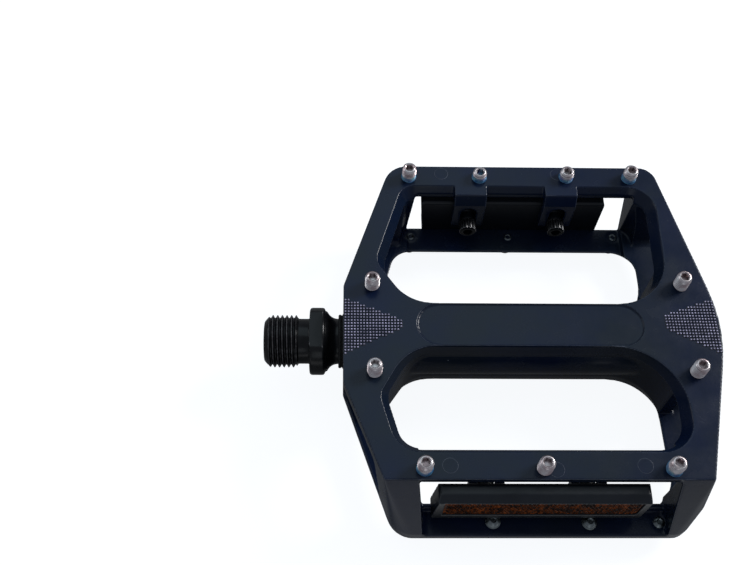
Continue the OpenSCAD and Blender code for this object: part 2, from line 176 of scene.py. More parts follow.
class Shader(Wiring):
    """A new material with a Principled shader, and short calls for the nodes that feed it."""

    def __init__(self, name: str) -> None:
        """Starts an empty material.

        Args:
            name: The material's name.
        """
        self.material = bpy.data.materials.new(name)
        self.material.use_nodes = True
        super().__init__(self.material.node_tree)
        self.surface = self.tree.nodes["Principled BSDF"]
        self.place = self.node("ShaderNodeTexCoord").outputs["Object"]

    def set(self, **values: "Socket | float | Colour") -> None:
        """Feeds or sets the shader's own sockets.

        Args:
            values: Outputs, numbers or colours by socket name, with _ for each space.
        """
        for name, value in values.items():
            value = (*value, 1.0) if isinstance(value, tuple) else value
            self.connect(value, self.surface.inputs[name.replace("_", " ")])

    def along(self, axis: str) -> Socket:
        """One of the object coordinates, named X, Y or Z."""
        return self.node("ShaderNodeSeparateXYZ", Vector=self.place).outputs[axis]

    def height(self) -> Socket:
        """Distance from the middle plane of the pedal, up or down."""
        return self.combine("ABSOLUTE", self.along("Z"), 0.0)

    def bulge(self) -> Socket:
        """How sharply the surface bulges, from the attribute that mark_edges writes.

        Returns:
            The attribute's value output.
        """
        node = self.node("ShaderNodeAttribute")
        node.attribute_name = EDGE_CURVE
        return node.outputs["Fac"]

    def noise(self, scale: float, detail: float, rough: float,
              place: Optional[Socket] = None) -> Socket:
        """Adds a noise field.

        Args:
            scale: Cells per metre.
            detail: Octaves added on top of the first.
            rough: How strong the finer octaves are.
            place: Coordinates to read instead of the plain object ones.

        Returns:
            The field's value output.
        """
        node = self.node("ShaderNodeTexNoise", Scale=scale, Detail=detail, Roughness=rough,
                         Vector=place or self.place)
        return node.outputs["Fac"]

    def cells(self, scale: float) -> Socket:
        """Distance to the middle of the nearest of that many cells per metre."""
        return self.node("ShaderNodeTexVoronoi", Scale=scale, Vector=self.place).outputs["Distance"]

    def band(self, source: Socket, ramp: Ramp) -> Socket:
        """Maps a value through a ramp.

        Args:
            source: The value that is mapped.
            ramp: The ramp.

        Returns:
            The mapped value's output.
        """
        node = self.node("ShaderNodeMapRange", Value=source, From_Min=ramp.low, From_Max=ramp.high,
                         To_Min=ramp.start, To_Max=ramp.end)
        return node.outputs["Result"]

    def patches(self, spec: Patches) -> Socket:
        """Noise mapped through its own ramp."""
        return self.band(self.noise(spec.scale, spec.detail, spec.rough), spec.ramp)

    def rest_of(self, share: Socket) -> Socket:
        """What a share leaves of one."""
        return self.band(share, Ramp(0.0, 1.0, 1.0, 0.0))

    def combine(self, kind: str, a: Socket, b: "Socket | float") -> Socket:
        """Adds, multiplies or otherwise combines two values.

        Args:
            kind: The math node's operation.
            a: First value.
            b: Second value.

        Returns:
            The result's output.
        """
        node = self.node("ShaderNodeMath")
        node.operation = kind
        self.connect(a, node.inputs[0])
        self.connect(b, node.inputs[1])
        return node.outputs["Value"]

    def times(self, a: Socket, b: "Socket | float") -> Socket:
        """Product of two values."""
        return self.combine("MULTIPLY", a, b)

    def blend(self, amount: Socket, low: "Colour | Socket", high: "Colour | Socket") -> Socket:
        """Blends between two colours.

        Args:
            amount: Share of the second colour.
            low: First colour, or the output of an earlier blend.
            high: Second colour, or the output of an earlier blend.

        Returns:
            The colour output.
        """
        node = self.node("ShaderNodeMix")
        node.data_type = "RGBA"
        self.connect(amount, node.inputs["Factor"])
        for colour, slot in ((low, node.inputs[6]), (high, node.inputs[7])):
            self.connect((*colour, 1.0) if isinstance(colour, tuple) else colour, slot)
        return node.outputs[2]

    def relief(self, level: Socket, depth: float, under: Optional[Socket] = None) -> Socket:
        """Turns a height field into a surface normal.

        Args:
            level: The height field, from 0 to 1.
            depth: Height in millimetres that 1 stands for.
            under: Normal of a finer relief that this one lies over.

        Returns:
            The normal output.
        """
        node = self.node("ShaderNodeBump", Strength=1.0, Distance=depth * MM, Height=level)
        if under is not None:
            self.connect(under, node.inputs["Normal"])
        return node.outputs["Normal"]

    def tooth(self, spec: Tooth, under: Optional[Socket] = None) -> Socket:
        """A normal from noise, over a finer one where given."""
        return self.relief(self.noise(spec.scale, spec.detail, spec.rough), spec.depth, under)

    def lines(self, spec: Lines) -> Socket:
        """A normal from noise that is drawn out into lines.

        Args:
            spec: The lines' fineness and depth.

        Returns:
            The normal output.
        """
        drawn = self.node("ShaderNodeMapping", Scale=spec.scale, Vector=self.place)
        streaks = self.noise(scale=1.0, detail=2.0, rough=0.6, place=drawn.outputs["Vector"])
        return self.relief(streaks, spec.depth)


@dataclass(frozen=True)
class Finish:
    """A surface finish; each kind says how its material is made."""

    name: str

    def make(self) -> bpy.types.Material:
        """Builds the material, once for each name.

        Returns:
            The material.
        """
        found = bpy.data.materials.get(self.name)
        if found is None:
            shader = Shader(self.name)
            self.paint(shader)
            found = shader.material
        return found

    def paint(self, shader: Shader) -> None:
        """Gives the new material its nodes."""
        raise NotImplementedError


@dataclass(frozen=True)
class CastPaint(Finish):
    """Semi-gloss blue-black paint over cast aluminium, scuffed along its edges, with a painted
    highlight in the lighter edge colour.
    """

    name: str = "cast_paint"
    body: Colour = (0.0034, 0.0085, 0.029)
    faded: Colour = (0.006, 0.0112, 0.0205)
    scuff_highlight_colour: Colour = (0.088, 0.1, 0.13)
    fleck: Colour = (0.20, 0.21, 0.24)
    blotches: Patches = Patches(38.0, 4.0, 0.6, Ramp(0.38, 0.66))
    edges: Ramp = Ramp(0.95, 2.4, 0.0, 0.8)
    ragged: Patches = Patches(420.0, 4.0, 0.65, Ramp(0.35, 0.68, 0.35, 1.0))
    fleck_cells: float = 210.0
    fleck_size: Ramp = Ramp(0.034, 0.022)
    fleck_areas: Patches = Patches(75.0, 1.0, 0.5, Ramp(0.62, 0.66))
    grain: Tooth = Tooth(900.0, 4.0, 0.6, 0.022)
    swell: Tooth = Tooth(170.0, 2.0, 0.5, 0.04)
    gloss: Patches = Patches(120.0, 4.0, 0.65, Ramp(0.3, 0.7, 0.2, 0.3))
    sheen: float = 0.24

    def paint(self, shader: Shader) -> None:
        """Blotches, fine cast grain, small flecks and a lighter line along the edges, partly scuffed
        paint and partly painted highlight.

        Args:
            shader: The new material.
        """
        colour = shader.blend(shader.patches(self.blotches), self.body, self.faded)
        # Lighter along the edges: partly scuffed paint, partly a painted highlight.
        scuff_and_highlight = shader.times(shader.band(shader.bulge(), self.edges), shader.patches(self.ragged))
        colour = shader.blend(scuff_and_highlight, colour, self.scuff_highlight_colour)
        flecks = shader.band(shader.cells(self.fleck_cells), self.fleck_size)
        flecks = shader.times(flecks, shader.patches(self.fleck_areas))
        shader.set(Base_Color=shader.blend(flecks, colour, self.fleck),
                   Normal=shader.tooth(self.swell, shader.tooth(self.grain)),
                   Roughness=shader.patches(self.gloss), Specular_IOR_Level=self.sheen)


@dataclass(frozen=True)
class KnurlPaint(Finish):
    """The same paint on the knurling: the tips lighter, partly scuffed paint and partly painted
    highlight, and painted shade down between the pyramids.
    """

    name: str = "knurl_paint"
    knurl_floor_shade: Colour = (0.004, 0.0065, 0.017)
    tip_scuff_highlight: Colour = (0.46, 0.44, 0.62)
    lit_scuffed_tips: Ramp = by_height(0.16, 0.27)
    uneven_scuff_glint: Patches = Patches(480.0, 4.0, 0.65, Ramp(0.34, 0.64, 0.3, 1.0))
    grain: Tooth = Tooth(2200.0, 3.0, 0.5, 0.01)
    roughness: float = 0.34
    sheen: float = 0.45

    def paint(self, shader: Shader) -> None:
        """Colour by height above the face: painted shade low down, and scuffed paint with a painted
        highlight at the tips, unevenly.

        Args:
            shader: The new material.
        """
        # Painted highlight with scuffed paint at the tips; painted shade below them.
        lit_scuffed_tips = shader.times(shader.band(shader.height(), self.lit_scuffed_tips), shader.patches(self.uneven_scuff_glint))
        shader.set(Base_Color=shader.blend(lit_scuffed_tips, self.knurl_floor_shade, self.tip_scuff_highlight),
                   Normal=shader.tooth(self.grain), Roughness=self.roughness,
                   Specular_IOR_Level=self.sheen)


@dataclass(frozen=True)
class BlackedSteel(Finish):
    """Turned steel with an oiled black oxide."""

    name: str = "blacked_steel"
    tone: Colour = (0.0055, 0.006, 0.007)
    scuff_highlight_colour: Colour = (0.4, 0.385, 0.4)
    crests: Ramp = Ramp(1.0, 5.0, 0.0, 0.9)
    specks: Patches = Patches(900.0, 4.0, 0.7, Ramp(0.3, 0.68, 0.1, 1.0))
    hollows: Ramp = Ramp(-3.0, 0.0, 0.1, 0.27)
    smudges: Patches = Patches(240.0, 4.0, 0.6, Ramp(0.35, 0.7, 0.17, 0.3))
    lathe: Lines = Lines((5200.0, 60.0, 60.0), 0.006)
    metallic: float = 0.2

    def paint(self, shader: Shader) -> None:
        """Fine lines from the lathe, lighter crests from scuffing and a painted highlight, and dull
        hollows.

        Args:
            shader: The new material.
        """
        # Lighter crests: partly scuffed oxide, partly a painted highlight.
        scuff_and_highlight = shader.times(shader.band(shader.bulge(), self.crests), shader.patches(self.specks))
        shader.set(Base_Color=shader.blend(scuff_and_highlight, self.tone, self.scuff_highlight_colour),
                   Specular_IOR_Level=shader.band(shader.bulge(), self.hollows),
                   Roughness=shader.patches(self.smudges), Normal=shader.lines(self.lathe),
                   Metallic=self.metallic)


@dataclass(frozen=True)
class Mottled(Finish):
    """Two colours in cloudy patches over a fine tooth."""

    tone: Colour
    cloud: Colour
    clouds: Patches
    grain: Tooth
    roughness: float
    sheen: float = 0.5
    metallic: float = 0.0

    def paint(self, shader: Shader) -> None:
        """Clouds of the second colour over the first.

        Args:
            shader: The new material.
        """
        shader.set(Base_Color=shader.blend(shader.patches(self.clouds), self.tone, self.cloud),
                   Normal=shader.tooth(self.grain), Roughness=self.roughness,
                   Specular_IOR_Level=self.sheen, Metallic=self.metallic)


@dataclass(frozen=True)
class MouldedRubber(Mottled):
    """Matt black rubber of the dust seal, with a little dust in its pores."""

    name: str = "moulded_rubber"
    tone: Colour = (0.0055, 0.0055, 0.006)
    cloud: Colour = (0.022, 0.021, 0.02)
    clouds: Patches = Patches(600.0, 5.0, 0.7, Ramp(0.5, 0.8, 0.0, 0.6))
    grain: Tooth = Tooth(1500.0, 3.0, 0.5, 0.02)
    roughness: float = 0.72
    sheen: float = 0.35


@dataclass(frozen=True)
class SocketShade(Mottled):
    """Unplated, rust-tinged steel down in a key socket."""

    name: str = "socket_shade"
    tone: Colour = (0.19, 0.105, 0.105)
    cloud: Colour = (0.05, 0.025, 0.028)
    clouds: Patches = Patches(1100.0, 4.0, 0.6, Ramp(0.4, 0.65))
    grain: Tooth = Tooth(3000.0, 2.0, 0.5, 0.01)
    roughness: float = 0.42
    metallic: float = 0.5


@dataclass(frozen=True)
class LockerResin(Mottled):
    """Cloudy blue thread-locking resin with a wet shine."""

    name: str = "locker_resin"
    tone: Colour = (0.012, 0.085, 0.21)
    cloud: Colour = (0.07, 0.19, 0.31)
    clouds: Patches = Patches(900.0, 4.0, 0.6, Ramp(0.4, 0.65))
    grain: Tooth = Tooth(1800.0, 3.0, 0.5, 0.03)
    roughness: float = 0.38


@dataclass(frozen=True)
class BrightPlate(Finish):
    """Bright zinc-nickel plate of the grip pins, slightly warm and marked by tools."""

    name: str = "bright_plate"
    tone: Colour = (0.66, 0.62, 0.62)
    stained: Colour = (0.42, 0.31, 0.315)
    root_shade: Colour = (0.05, 0.04, 0.04)
    sunk_shade: Colour = (0.15, 0.17, 0.175)
    stain: Patches = Patches(330.0, 3.0, 0.5, Ramp(0.4, 0.66, 0.0, 0.9))
    polish: Patches = Patches(1400.0, 3.0, 0.6, Ramp(0.3, 0.7, 0.24, 0.4))
    hollows: Ramp = Ramp(-2.5, 0.5, 0.85, 0.0)
    hole: Ramp = by_height(-1.5, -1.0, 1.0, 0.0)
    scratches: Tooth = Tooth(2600.0, 3.0, 0.5, 0.008)
    film: float = 0.0
    film_rim: tuple[float, float, float] = (330.0, 4.0, 0.6)
    blue: Colour = (0.03, 0.085, 0.30)
    teal: Colour = (0.03, 0.26, 0.32)
    film_clouds: Patches = Patches(420.0, 3.0, 0.6, Ramp(0.42, 0.6))
    film_edge: Ramp = by_height(0.0, 0.5, 0.85, 0.0)
    dry_middle: Ramp = Ramp(5 * MM, 6 * MM)

    def paint(self, shader: Shader) -> None:
        """Patchy stain, painted shade in the thread roots and on the part inside the cage, a scratched
        polish and, on some, a blue film up the threads.

        Args:
            shader: The new material.
        """
        colour = shader.blend(shader.patches(self.stain), self.tone, self.stained)
        # Painted shade in the thread roots.
        colour = shader.blend(shader.band(shader.bulge(), self.hollows), colour, self.root_shade)
        # Painted shade on the part of the pin that lies deeper than the face, inside the cage.
        inside = shader.band(shader.height(), self.hole)
        colour = shader.blend(inside, colour, self.sunk_shade)
        shader.set(Metallic=1.0)
        if self.film:
            wet = self.wetness(shader, inside)
            resin = shader.blend(shader.patches(self.film_clouds), self.blue, self.teal)
            colour = shader.blend(wet, colour, resin)
            shader.set(Metallic=shader.rest_of(wet))
        shader.set(Base_Color=colour, Roughness=shader.patches(self.polish),
                   Normal=shader.tooth(self.scratches))

    def wetness(self, shader: Shader, inside: Socket) -> Socket:
        """Where the blue film lies: ragged above the face, none in the holes or at the middle pin.

        Args:
            shader: The new material.
            inside: One down in a pin's hole, nought above it.

        Returns:
            The film's share, from 0 to 1.
        """
        ragged = shader.times(shader.noise(*self.film_rim), self.film * MM)
        film = shader.band(shader.combine("SUBTRACT", shader.height(), ragged), self.film_edge)
        aside = shader.combine("SUBTRACT", shader.along("X"), CAGE_MIDDLE)
        aside = shader.combine("ABSOLUTE", aside, 0.0)
        outside = shader.times(shader.rest_of(inside), shader.band(aside, self.dry_middle))
        return shader.times(film, outside)


@dataclass(frozen=True)
class MouldedPlastic(Finish):
    """Fine-grained black plastic."""

    name: str = "moulded_plastic"
    tone: Colour = (0.0055, 0.0075, 0.011)
    plastic_scuff_highlight: Colour = (0.035, 0.04, 0.048)
    edges: Ramp = Ramp(0.6, 1.9, 0.0, 0.8)
    gloss: Patches = Patches(300.0, 4.0, 0.6, Ramp(0.3, 0.7, 0.28, 0.4))
    grain: Tooth = Tooth(2200.0, 3.0, 0.6, 0.018)
    sheen: float = 0.3

    def paint(self, shader: Shader) -> None:
        """Spark-eroded grain, and soft lighter edges that are partly scuffing and partly painted
        highlight.

        Args:
            shader: The new material.
        """
        # Lighter edges: partly scuffing, partly a painted highlight line.
        scuff_and_highlight = shader.band(shader.bulge(), self.edges)
        shader.set(Base_Color=shader.blend(scuff_and_highlight, self.tone, self.plastic_scuff_highlight),
                   Roughness=shader.patches(self.gloss), Normal=shader.tooth(self.grain),
                   Specular_IOR_Level=self.sheen)


@dataclass(frozen=True)
class AmberPlastic(Finish):
    """Prismatic amber plastic of a reflector lens, with the prisms' glints and shade painted into its
    colour.
    """

    name: str = "amber_plastic"
    glint_amber: Colour = (0.3, 0.07, 0.011)
    shade_amber: Colour = (0.007, 0.0022, 0.0015)
    cell_scale: float = 1050.0
    cell_walls: Ramp = Ramp(0.25, 0.75)
    clouds: Patches = Patches(420.0, 4.0, 0.7, Ramp(0.4, 0.62))
    cell_depth: float = 0.06
    roughness: float = 0.28
    sheen: float = 0.06

    def paint(self, shader: Shader) -> None:
        """Cells of painted glint and painted shade, as the prisms would catch the light, under a clear
        gloss.

        Args:
            shader: The new material.
        """
        # Painted glints and painted shade of the prisms, cell by cell, over the amber.
        cells = shader.band(shader.cells(self.cell_scale), self.cell_walls)
        prism_glints = shader.times(cells, shader.patches(self.clouds))
        shader.set(Base_Color=shader.blend(prism_glints, self.shade_amber, self.glint_amber),
                   Normal=shader.relief(cells, self.cell_depth),
                   Roughness=self.roughness, Specular_IOR_Level=self.sheen)


@dataclass(frozen=True)
class GroundSteel(Finish):
    """Ground or plated steel of the bearing parts and nuts."""

    name: str = "ground_steel"
    tone: Colour = (0.56, 0.56, 0.57)
    oiled: Colour = (0.26, 0.25, 0.235)
    roughness: tuple[float, float] = (0.18, 0.34)
    oil: Patches = Patches(210.0, 4.0, 0.6, Ramp(0.48, 0.7, 0.0, 0.7))
    grinding: Lines = Lines((4200.0, 120.0, 120.0), 0.005)

    def paint(self, shader: Shader) -> None:
        """Grinding lines under a film of old oil.

        Args:
            shader: The new material.
        """
        gloss = Patches(700.0, 3.0, 0.5, Ramp(0.3, 0.7, *self.roughness))
        shader.set(Base_Color=shader.blend(shader.patches(self.oil), self.tone, self.oiled),
                   Roughness=shader.patches(gloss), Normal=shader.lines(self.grinding), Metallic=1.0)


@dataclass(frozen=True)
class StudioFloor(Finish):
    """Plain white floor: white where the camera sees it lit, and it keeps shadows."""

    name: str = "studio_floor"
    tone: Colour = (0.17, 0.172, 0.176)
    glow: Colour = (0.96, 0.98, 1.0)
    lift: float = 0.95
    glint: float = 0.06
    lit_strip: float = 0.8
    lit_strip_front: Ramp = Ramp(-0.17, -0.12)
    lit_strip_back: Ramp = Ramp(-0.065, -0.05, 1.0, 0.0)
    paper: Patches = Patches(60.0, 3.0, 0.5, Ramp(0.3, 0.7, 0.62, 0.7))

    def paint(self, shader: Shader) -> None:
        """A faint tooth in the paper, a glow that only the view and reflections see, and a painted
        strip of light in front of the pedal that only reflections see.

        Args:
            shader: The new material.
        """
        path = shader.node("ShaderNodeLightPath").outputs
        seen = shader.combine("MAXIMUM", path["Is Camera Ray"], path["Is Transmission Ray"])
        # Painted light: a strip of floor in front of the pedal glows brighter in reflections only.
        across = shader.along("Y")
        lit_strip = shader.times(shader.band(across, self.lit_strip_front),
                             shader.band(across, self.lit_strip_back))
        shine = shader.band(lit_strip, Ramp(0.0, 1.0, self.glint, self.lit_strip))
        lit = shader.combine("MAXIMUM", seen, shader.times(path["Is Glossy Ray"], shine))
        shader.set(Base_Color=self.tone, Roughness=shader.patches(self.paper), Specular_IOR_Level=0.0,
                   Emission_Color=self.glow, Emission_Strength=shader.times(lit, self.lift))


PAINT = CastPaint()
KNURLED = KnurlPaint()
BLACKED = BlackedSteel()
RUBBER = MouldedRubber()
PLATE = BrightPlate()
WETTED = BrightPlate("resin_wetted_plate", film=2.4)
SOCKET = SocketShade()
# Pin feet: unplated steel, made darker as painted shade for the ends inside the cage.
UNPLATED_SHADED = GroundSteel("dull_steel", (0.15, 0.165, 0.17), (0.045, 0.05, 0.052), (0.3, 0.46))
RESIN = LockerResin()
PLASTIC = MouldedPlastic()
AMBER = AmberPlastic()
STEEL = GroundSteel()
POLISHED = GroundSteel("polished_balls", (0.72, 0.72, 0.74), (0.5, 0.49, 0.47), (0.06, 0.16))
ZINC = GroundSteel("zinc_plate", (0.43, 0.43, 0.44), (0.24, 0.23, 0.2), (0.28, 0.46))


# ---------------------------------------------------------------- mesh making


def new_object(name: str, mesh: bpy.types.Mesh) -> bpy.types.Object:
    """Puts a mesh in the scene.

    Args:
        name: Name of the new object.
        mesh: Its mesh.

    Returns:
        The object, at the origin.
    """
    obj = bpy.data.objects.new(name, mesh)
    bpy.context.scene.collection.objects.link(obj)
    return obj


def from_bmesh(name: str, work: bmesh.types.BMesh) -> bpy.types.Object:
    """Turns a mesh under work into an object.

    Args:
        name: Name of the object and its mesh.
        work: The mesh under work, which is freed.

    Returns:
        The object.
    """
    mesh = bpy.data.meshes.new(name)
    work.to_mesh(mesh)
    work.free()
    return new_object(name, mesh)


def soften_shading(mesh: bpy.types.Mesh, angle: float) -> None:
    """Shades smoothly, but keeps edges sharper than the angle, in degrees."""
    mesh.polygons.foreach_set("use_smooth", [True] * len(mesh.polygons))
    mesh.set_sharp_from_angle(angle=math.radians(angle))


def bake_modifiers(obj: bpy.types.Object) -> bpy.types.Object:
    """Turns an object with modifiers into a plain one of the same name.

    Args:
        obj: The object whose modifiers are used up.

    Returns:
        A new object with the evaluated mesh and no modifiers.
    """
    name = obj.name
    graph = bpy.context.evaluated_depsgraph_get()
    mesh = bpy.data.meshes.new_from_object(obj.evaluated_get(graph), depsgraph=graph)
    bpy.data.objects.remove(obj)
    mesh.name = name
    return new_object(name, mesh)


def mark_edges(mesh: bpy.types.Mesh) -> None:
    """Writes each point's mean curvature, in 1/mm, as the attribute that edge scuffing, painted
    highlights and painted shade follow.

    Args:
        mesh: A finished mesh in metres.
    """
    work = bmesh.new()
    work.from_mesh(mesh)
    bend = [0.0] * len(work.verts)
    area = [LEAST_AREA] * len(work.verts)
    for edge in work.edges:
        if len(edge.link_faces) == 2:
            # Mean curvature is half the bend, and each end of the edge takes half of that.
            value = edge.calc_face_angle_signed(0.0) * edge.calc_length() / 4
            for vert in edge.verts:
                bend[vert.index] += value
    for face in work.faces:
        share = face.calc_area() / len(face.verts)
        for vert in face.verts:
            area[vert.index] += share
    work.free()
    values = [MM * b / a for b, a in zip(bend, area)]
    mesh.attributes.new(EDGE_CURVE, "FLOAT", "POINT").data.foreach_set("value", values)


def dress(obj: bpy.types.Object, body: str, nodes: Sequence[str] = (),
          finishes: Sequence[Finish] = ()) -> bpy.types.Object:
    """Gives a finished piece its materials and its place among the bodies.

    Args:
        obj: The piece, at the origin.
        body: CAD body that it moves with.
        nodes: CAD nodes that it stands for.
        finishes: Finishes for its material slots, in order; none keeps what it has.

    Returns:
        The same piece.
    """
    mark_edges(obj.data)
    if finishes:
        obj.data.materials.clear()
        for finish in finishes:
            obj.data.materials.append(finish.make())
    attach(obj, body)
    if nodes:
        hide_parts(*nodes)
    LOG.info("%s rides on %s with %d faces", obj.name, body, len(obj.data.polygons))
    return obj


def welded_copy(node: str) -> bmesh.types.BMesh:
    """A CAD node's mesh with its loose triangles joined.

    Args:
        node: The node's name.

    Returns:
        The copy, to be freed by the caller.
    """
    copy = bmesh.new()
    copy.from_mesh(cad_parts[node].data)
    bmesh.ops.remove_doubles(copy, verts=copy.verts, dist=WELD_GAP)
    return copy


def islands(node: str) -> list[tuple[Vector, Vector]]:
    """Finds the separate solids of a CAD node.

    Args:
        node: The node's name.

    Returns:
        The lowest and highest corners of each solid, in order along X and then Y.
    """
    copy = welded_copy(node)
    left = set(copy.verts)
    boxes = []
    while left:
        todo = [left.pop()]
        points = []
        while todo:
            vert = todo.pop()
            points.append(vert.co.copy())
            for edge in vert.link_edges:
                other = edge.other_vert(vert)
                if other in left:
                    left.remove(other)
                    todo.append(other)
        low = Vector(min(p[i] for p in points) for i in range(3))
        high = Vector(max(p[i] for p in points) for i in range(3))
        boxes.append((low, high))
    copy.free()
    return sorted(boxes, key=lambda box: (round(box[0].x, 5), round(box[0].y, 5)))


def side_of(low: Vector, high: Vector) -> int:
    """One for a solid on the pedal's upper side, minus one for the lower."""
    return 1 if high.z + low.z > 0 else -1


def join_copies(name: str, copies: Iterable[tuple[bpy.types.Object, Matrix]],
                angle: float = SMOOTH_BELOW) -> bpy.types.Object:
    """Joins copies of pattern pieces into one piece.

    Args:
        name: Name of the piece.
        copies: Each copy's pattern and place.
        angle: Sharpest angle that is shaded smoothly, in degrees.

    Returns:
        The piece.
    """
    merged = bmesh.new()
    for pattern, place in copies:
        mesh = pattern.data.copy()
        mesh.transform(place)
        merged.from_mesh(mesh)
        bpy.data.meshes.remove(mesh)
    piece = from_bmesh(name, merged)
    soften_shading(piece.data, angle)
    return piece


@dataclass(frozen=True)
class Casting:
    """Gives a hard-edged solid the soft edges of a cast or moulded one."""

    voxel: float
    passes: int
    budget: int
    smoothing: float = 0.5
    flat_weight: int = 60

    def soften(self, name: str, source: bmesh.types.BMesh) -> bpy.types.Object:
        """Rebuilds the solid on a fine grid, smooths it and thins what lies flat.

        Args:
            name: Name of the new piece.
            source: The solid, which is freed.

        Returns:
            The softened piece, as a plain mesh.
        """
        obj = from_bmesh(name, source)
        grid = obj.modifiers.new("grid", "REMESH")
        grid.mode = "VOXEL"
        grid.voxel_size = self.voxel * MM
        smooth = obj.modifiers.new("smooth", "SMOOTH")
        smooth.factor = self.smoothing
        smooth.iterations = self.passes
        obj = bake_modifiers(obj)
        thin = obj.modifiers.new("thin", "DECIMATE")
        thin.ratio = min(1.0, self.budget / (2 * max(len(obj.data.polygons), 1)))
        obj = bake_modifiers(obj)
        obj.data.polygons.foreach_set("use_smooth", [True] * len(obj.data.polygons))
        flat = obj.modifiers.new("flat", "WEIGHTED_NORMAL")
        flat.weight = self.flat_weight
        flat.keep_sharp = False
        return bake_modifiers(obj)


@dataclass
class Stop:
    """One ring of a turned part: its place on the axis, its radius and its section."""

    z: float
    radius: float
    outline: Outline = Outline.ROUND
    material: int = 0


def stops(profile: Profile, base: float = 0.0, rim: float = 0.0, outline: Outline = Outline.ROUND,
          material: int = 0) -> list[Stop]:
    """Rings through a profile.

    Args:
        profile: Places and radii, in millimetres.
        base: Place that the places count from.
        rim: Radius that the radii count from.
        outline: Section of every ring.
        material: Material of the faces after every ring.

    Returns:
        One stop for each point of the profile.
    """
    return [Stop(base + z, rim + radius, outline, material) for z, radius in profile]


def arc(place: float, middle: float, radius: float, start: float, sweep: float,
        steps: int) -> list[Stop]:
    """Rings along an arc of the profile.

    Args:
        place: Where the arc's centre lies along the axis.
        middle: How far the centre lies from the axis.
        radius: The arc's own radius.
        start: Direction from the centre to the first ring, in degrees.
        sweep: Turn to the last ring, in degrees.
        steps: How many parts the arc has.

    Returns:
        The rings, in order.
    """
    turns = [math.radians(start + sweep * k / steps) for k in range(steps + 1)]
    return [Stop(place + radius * math.cos(a), middle + radius * math.sin(a)) for a in turns]


@dataclass
class Thread:
    """A screw thread between two places on a turned part, all in millimetres."""

    start: float
    end: float
    radius: float
    pitch: float
    depth: float
    lead_in: float
    run_out: float
    phase: float = 0.0
    flanks: tuple[tuple[float, float], ...] = (
        (0.0, 1.0), (0.14, 1.0), (0.3, 0.5), (0.46, 0.0), (0.66, 0.0), (0.83, 0.5))

    def height(self, z: float, share: float) -> float:
        """Radius at a place on the axis.

        Args:
            z: The place.
            share: Share of the full thread height there.

        Returns:
            The radius, which fades to the core's at both ends.
        """
        core = self.radius - self.depth
        free = min(1.0, (z - self.start) / self.lead_in, (self.end - z) / self.run_out)
        return core + min(share, max(free, 0.0)) * (self.radius - core)


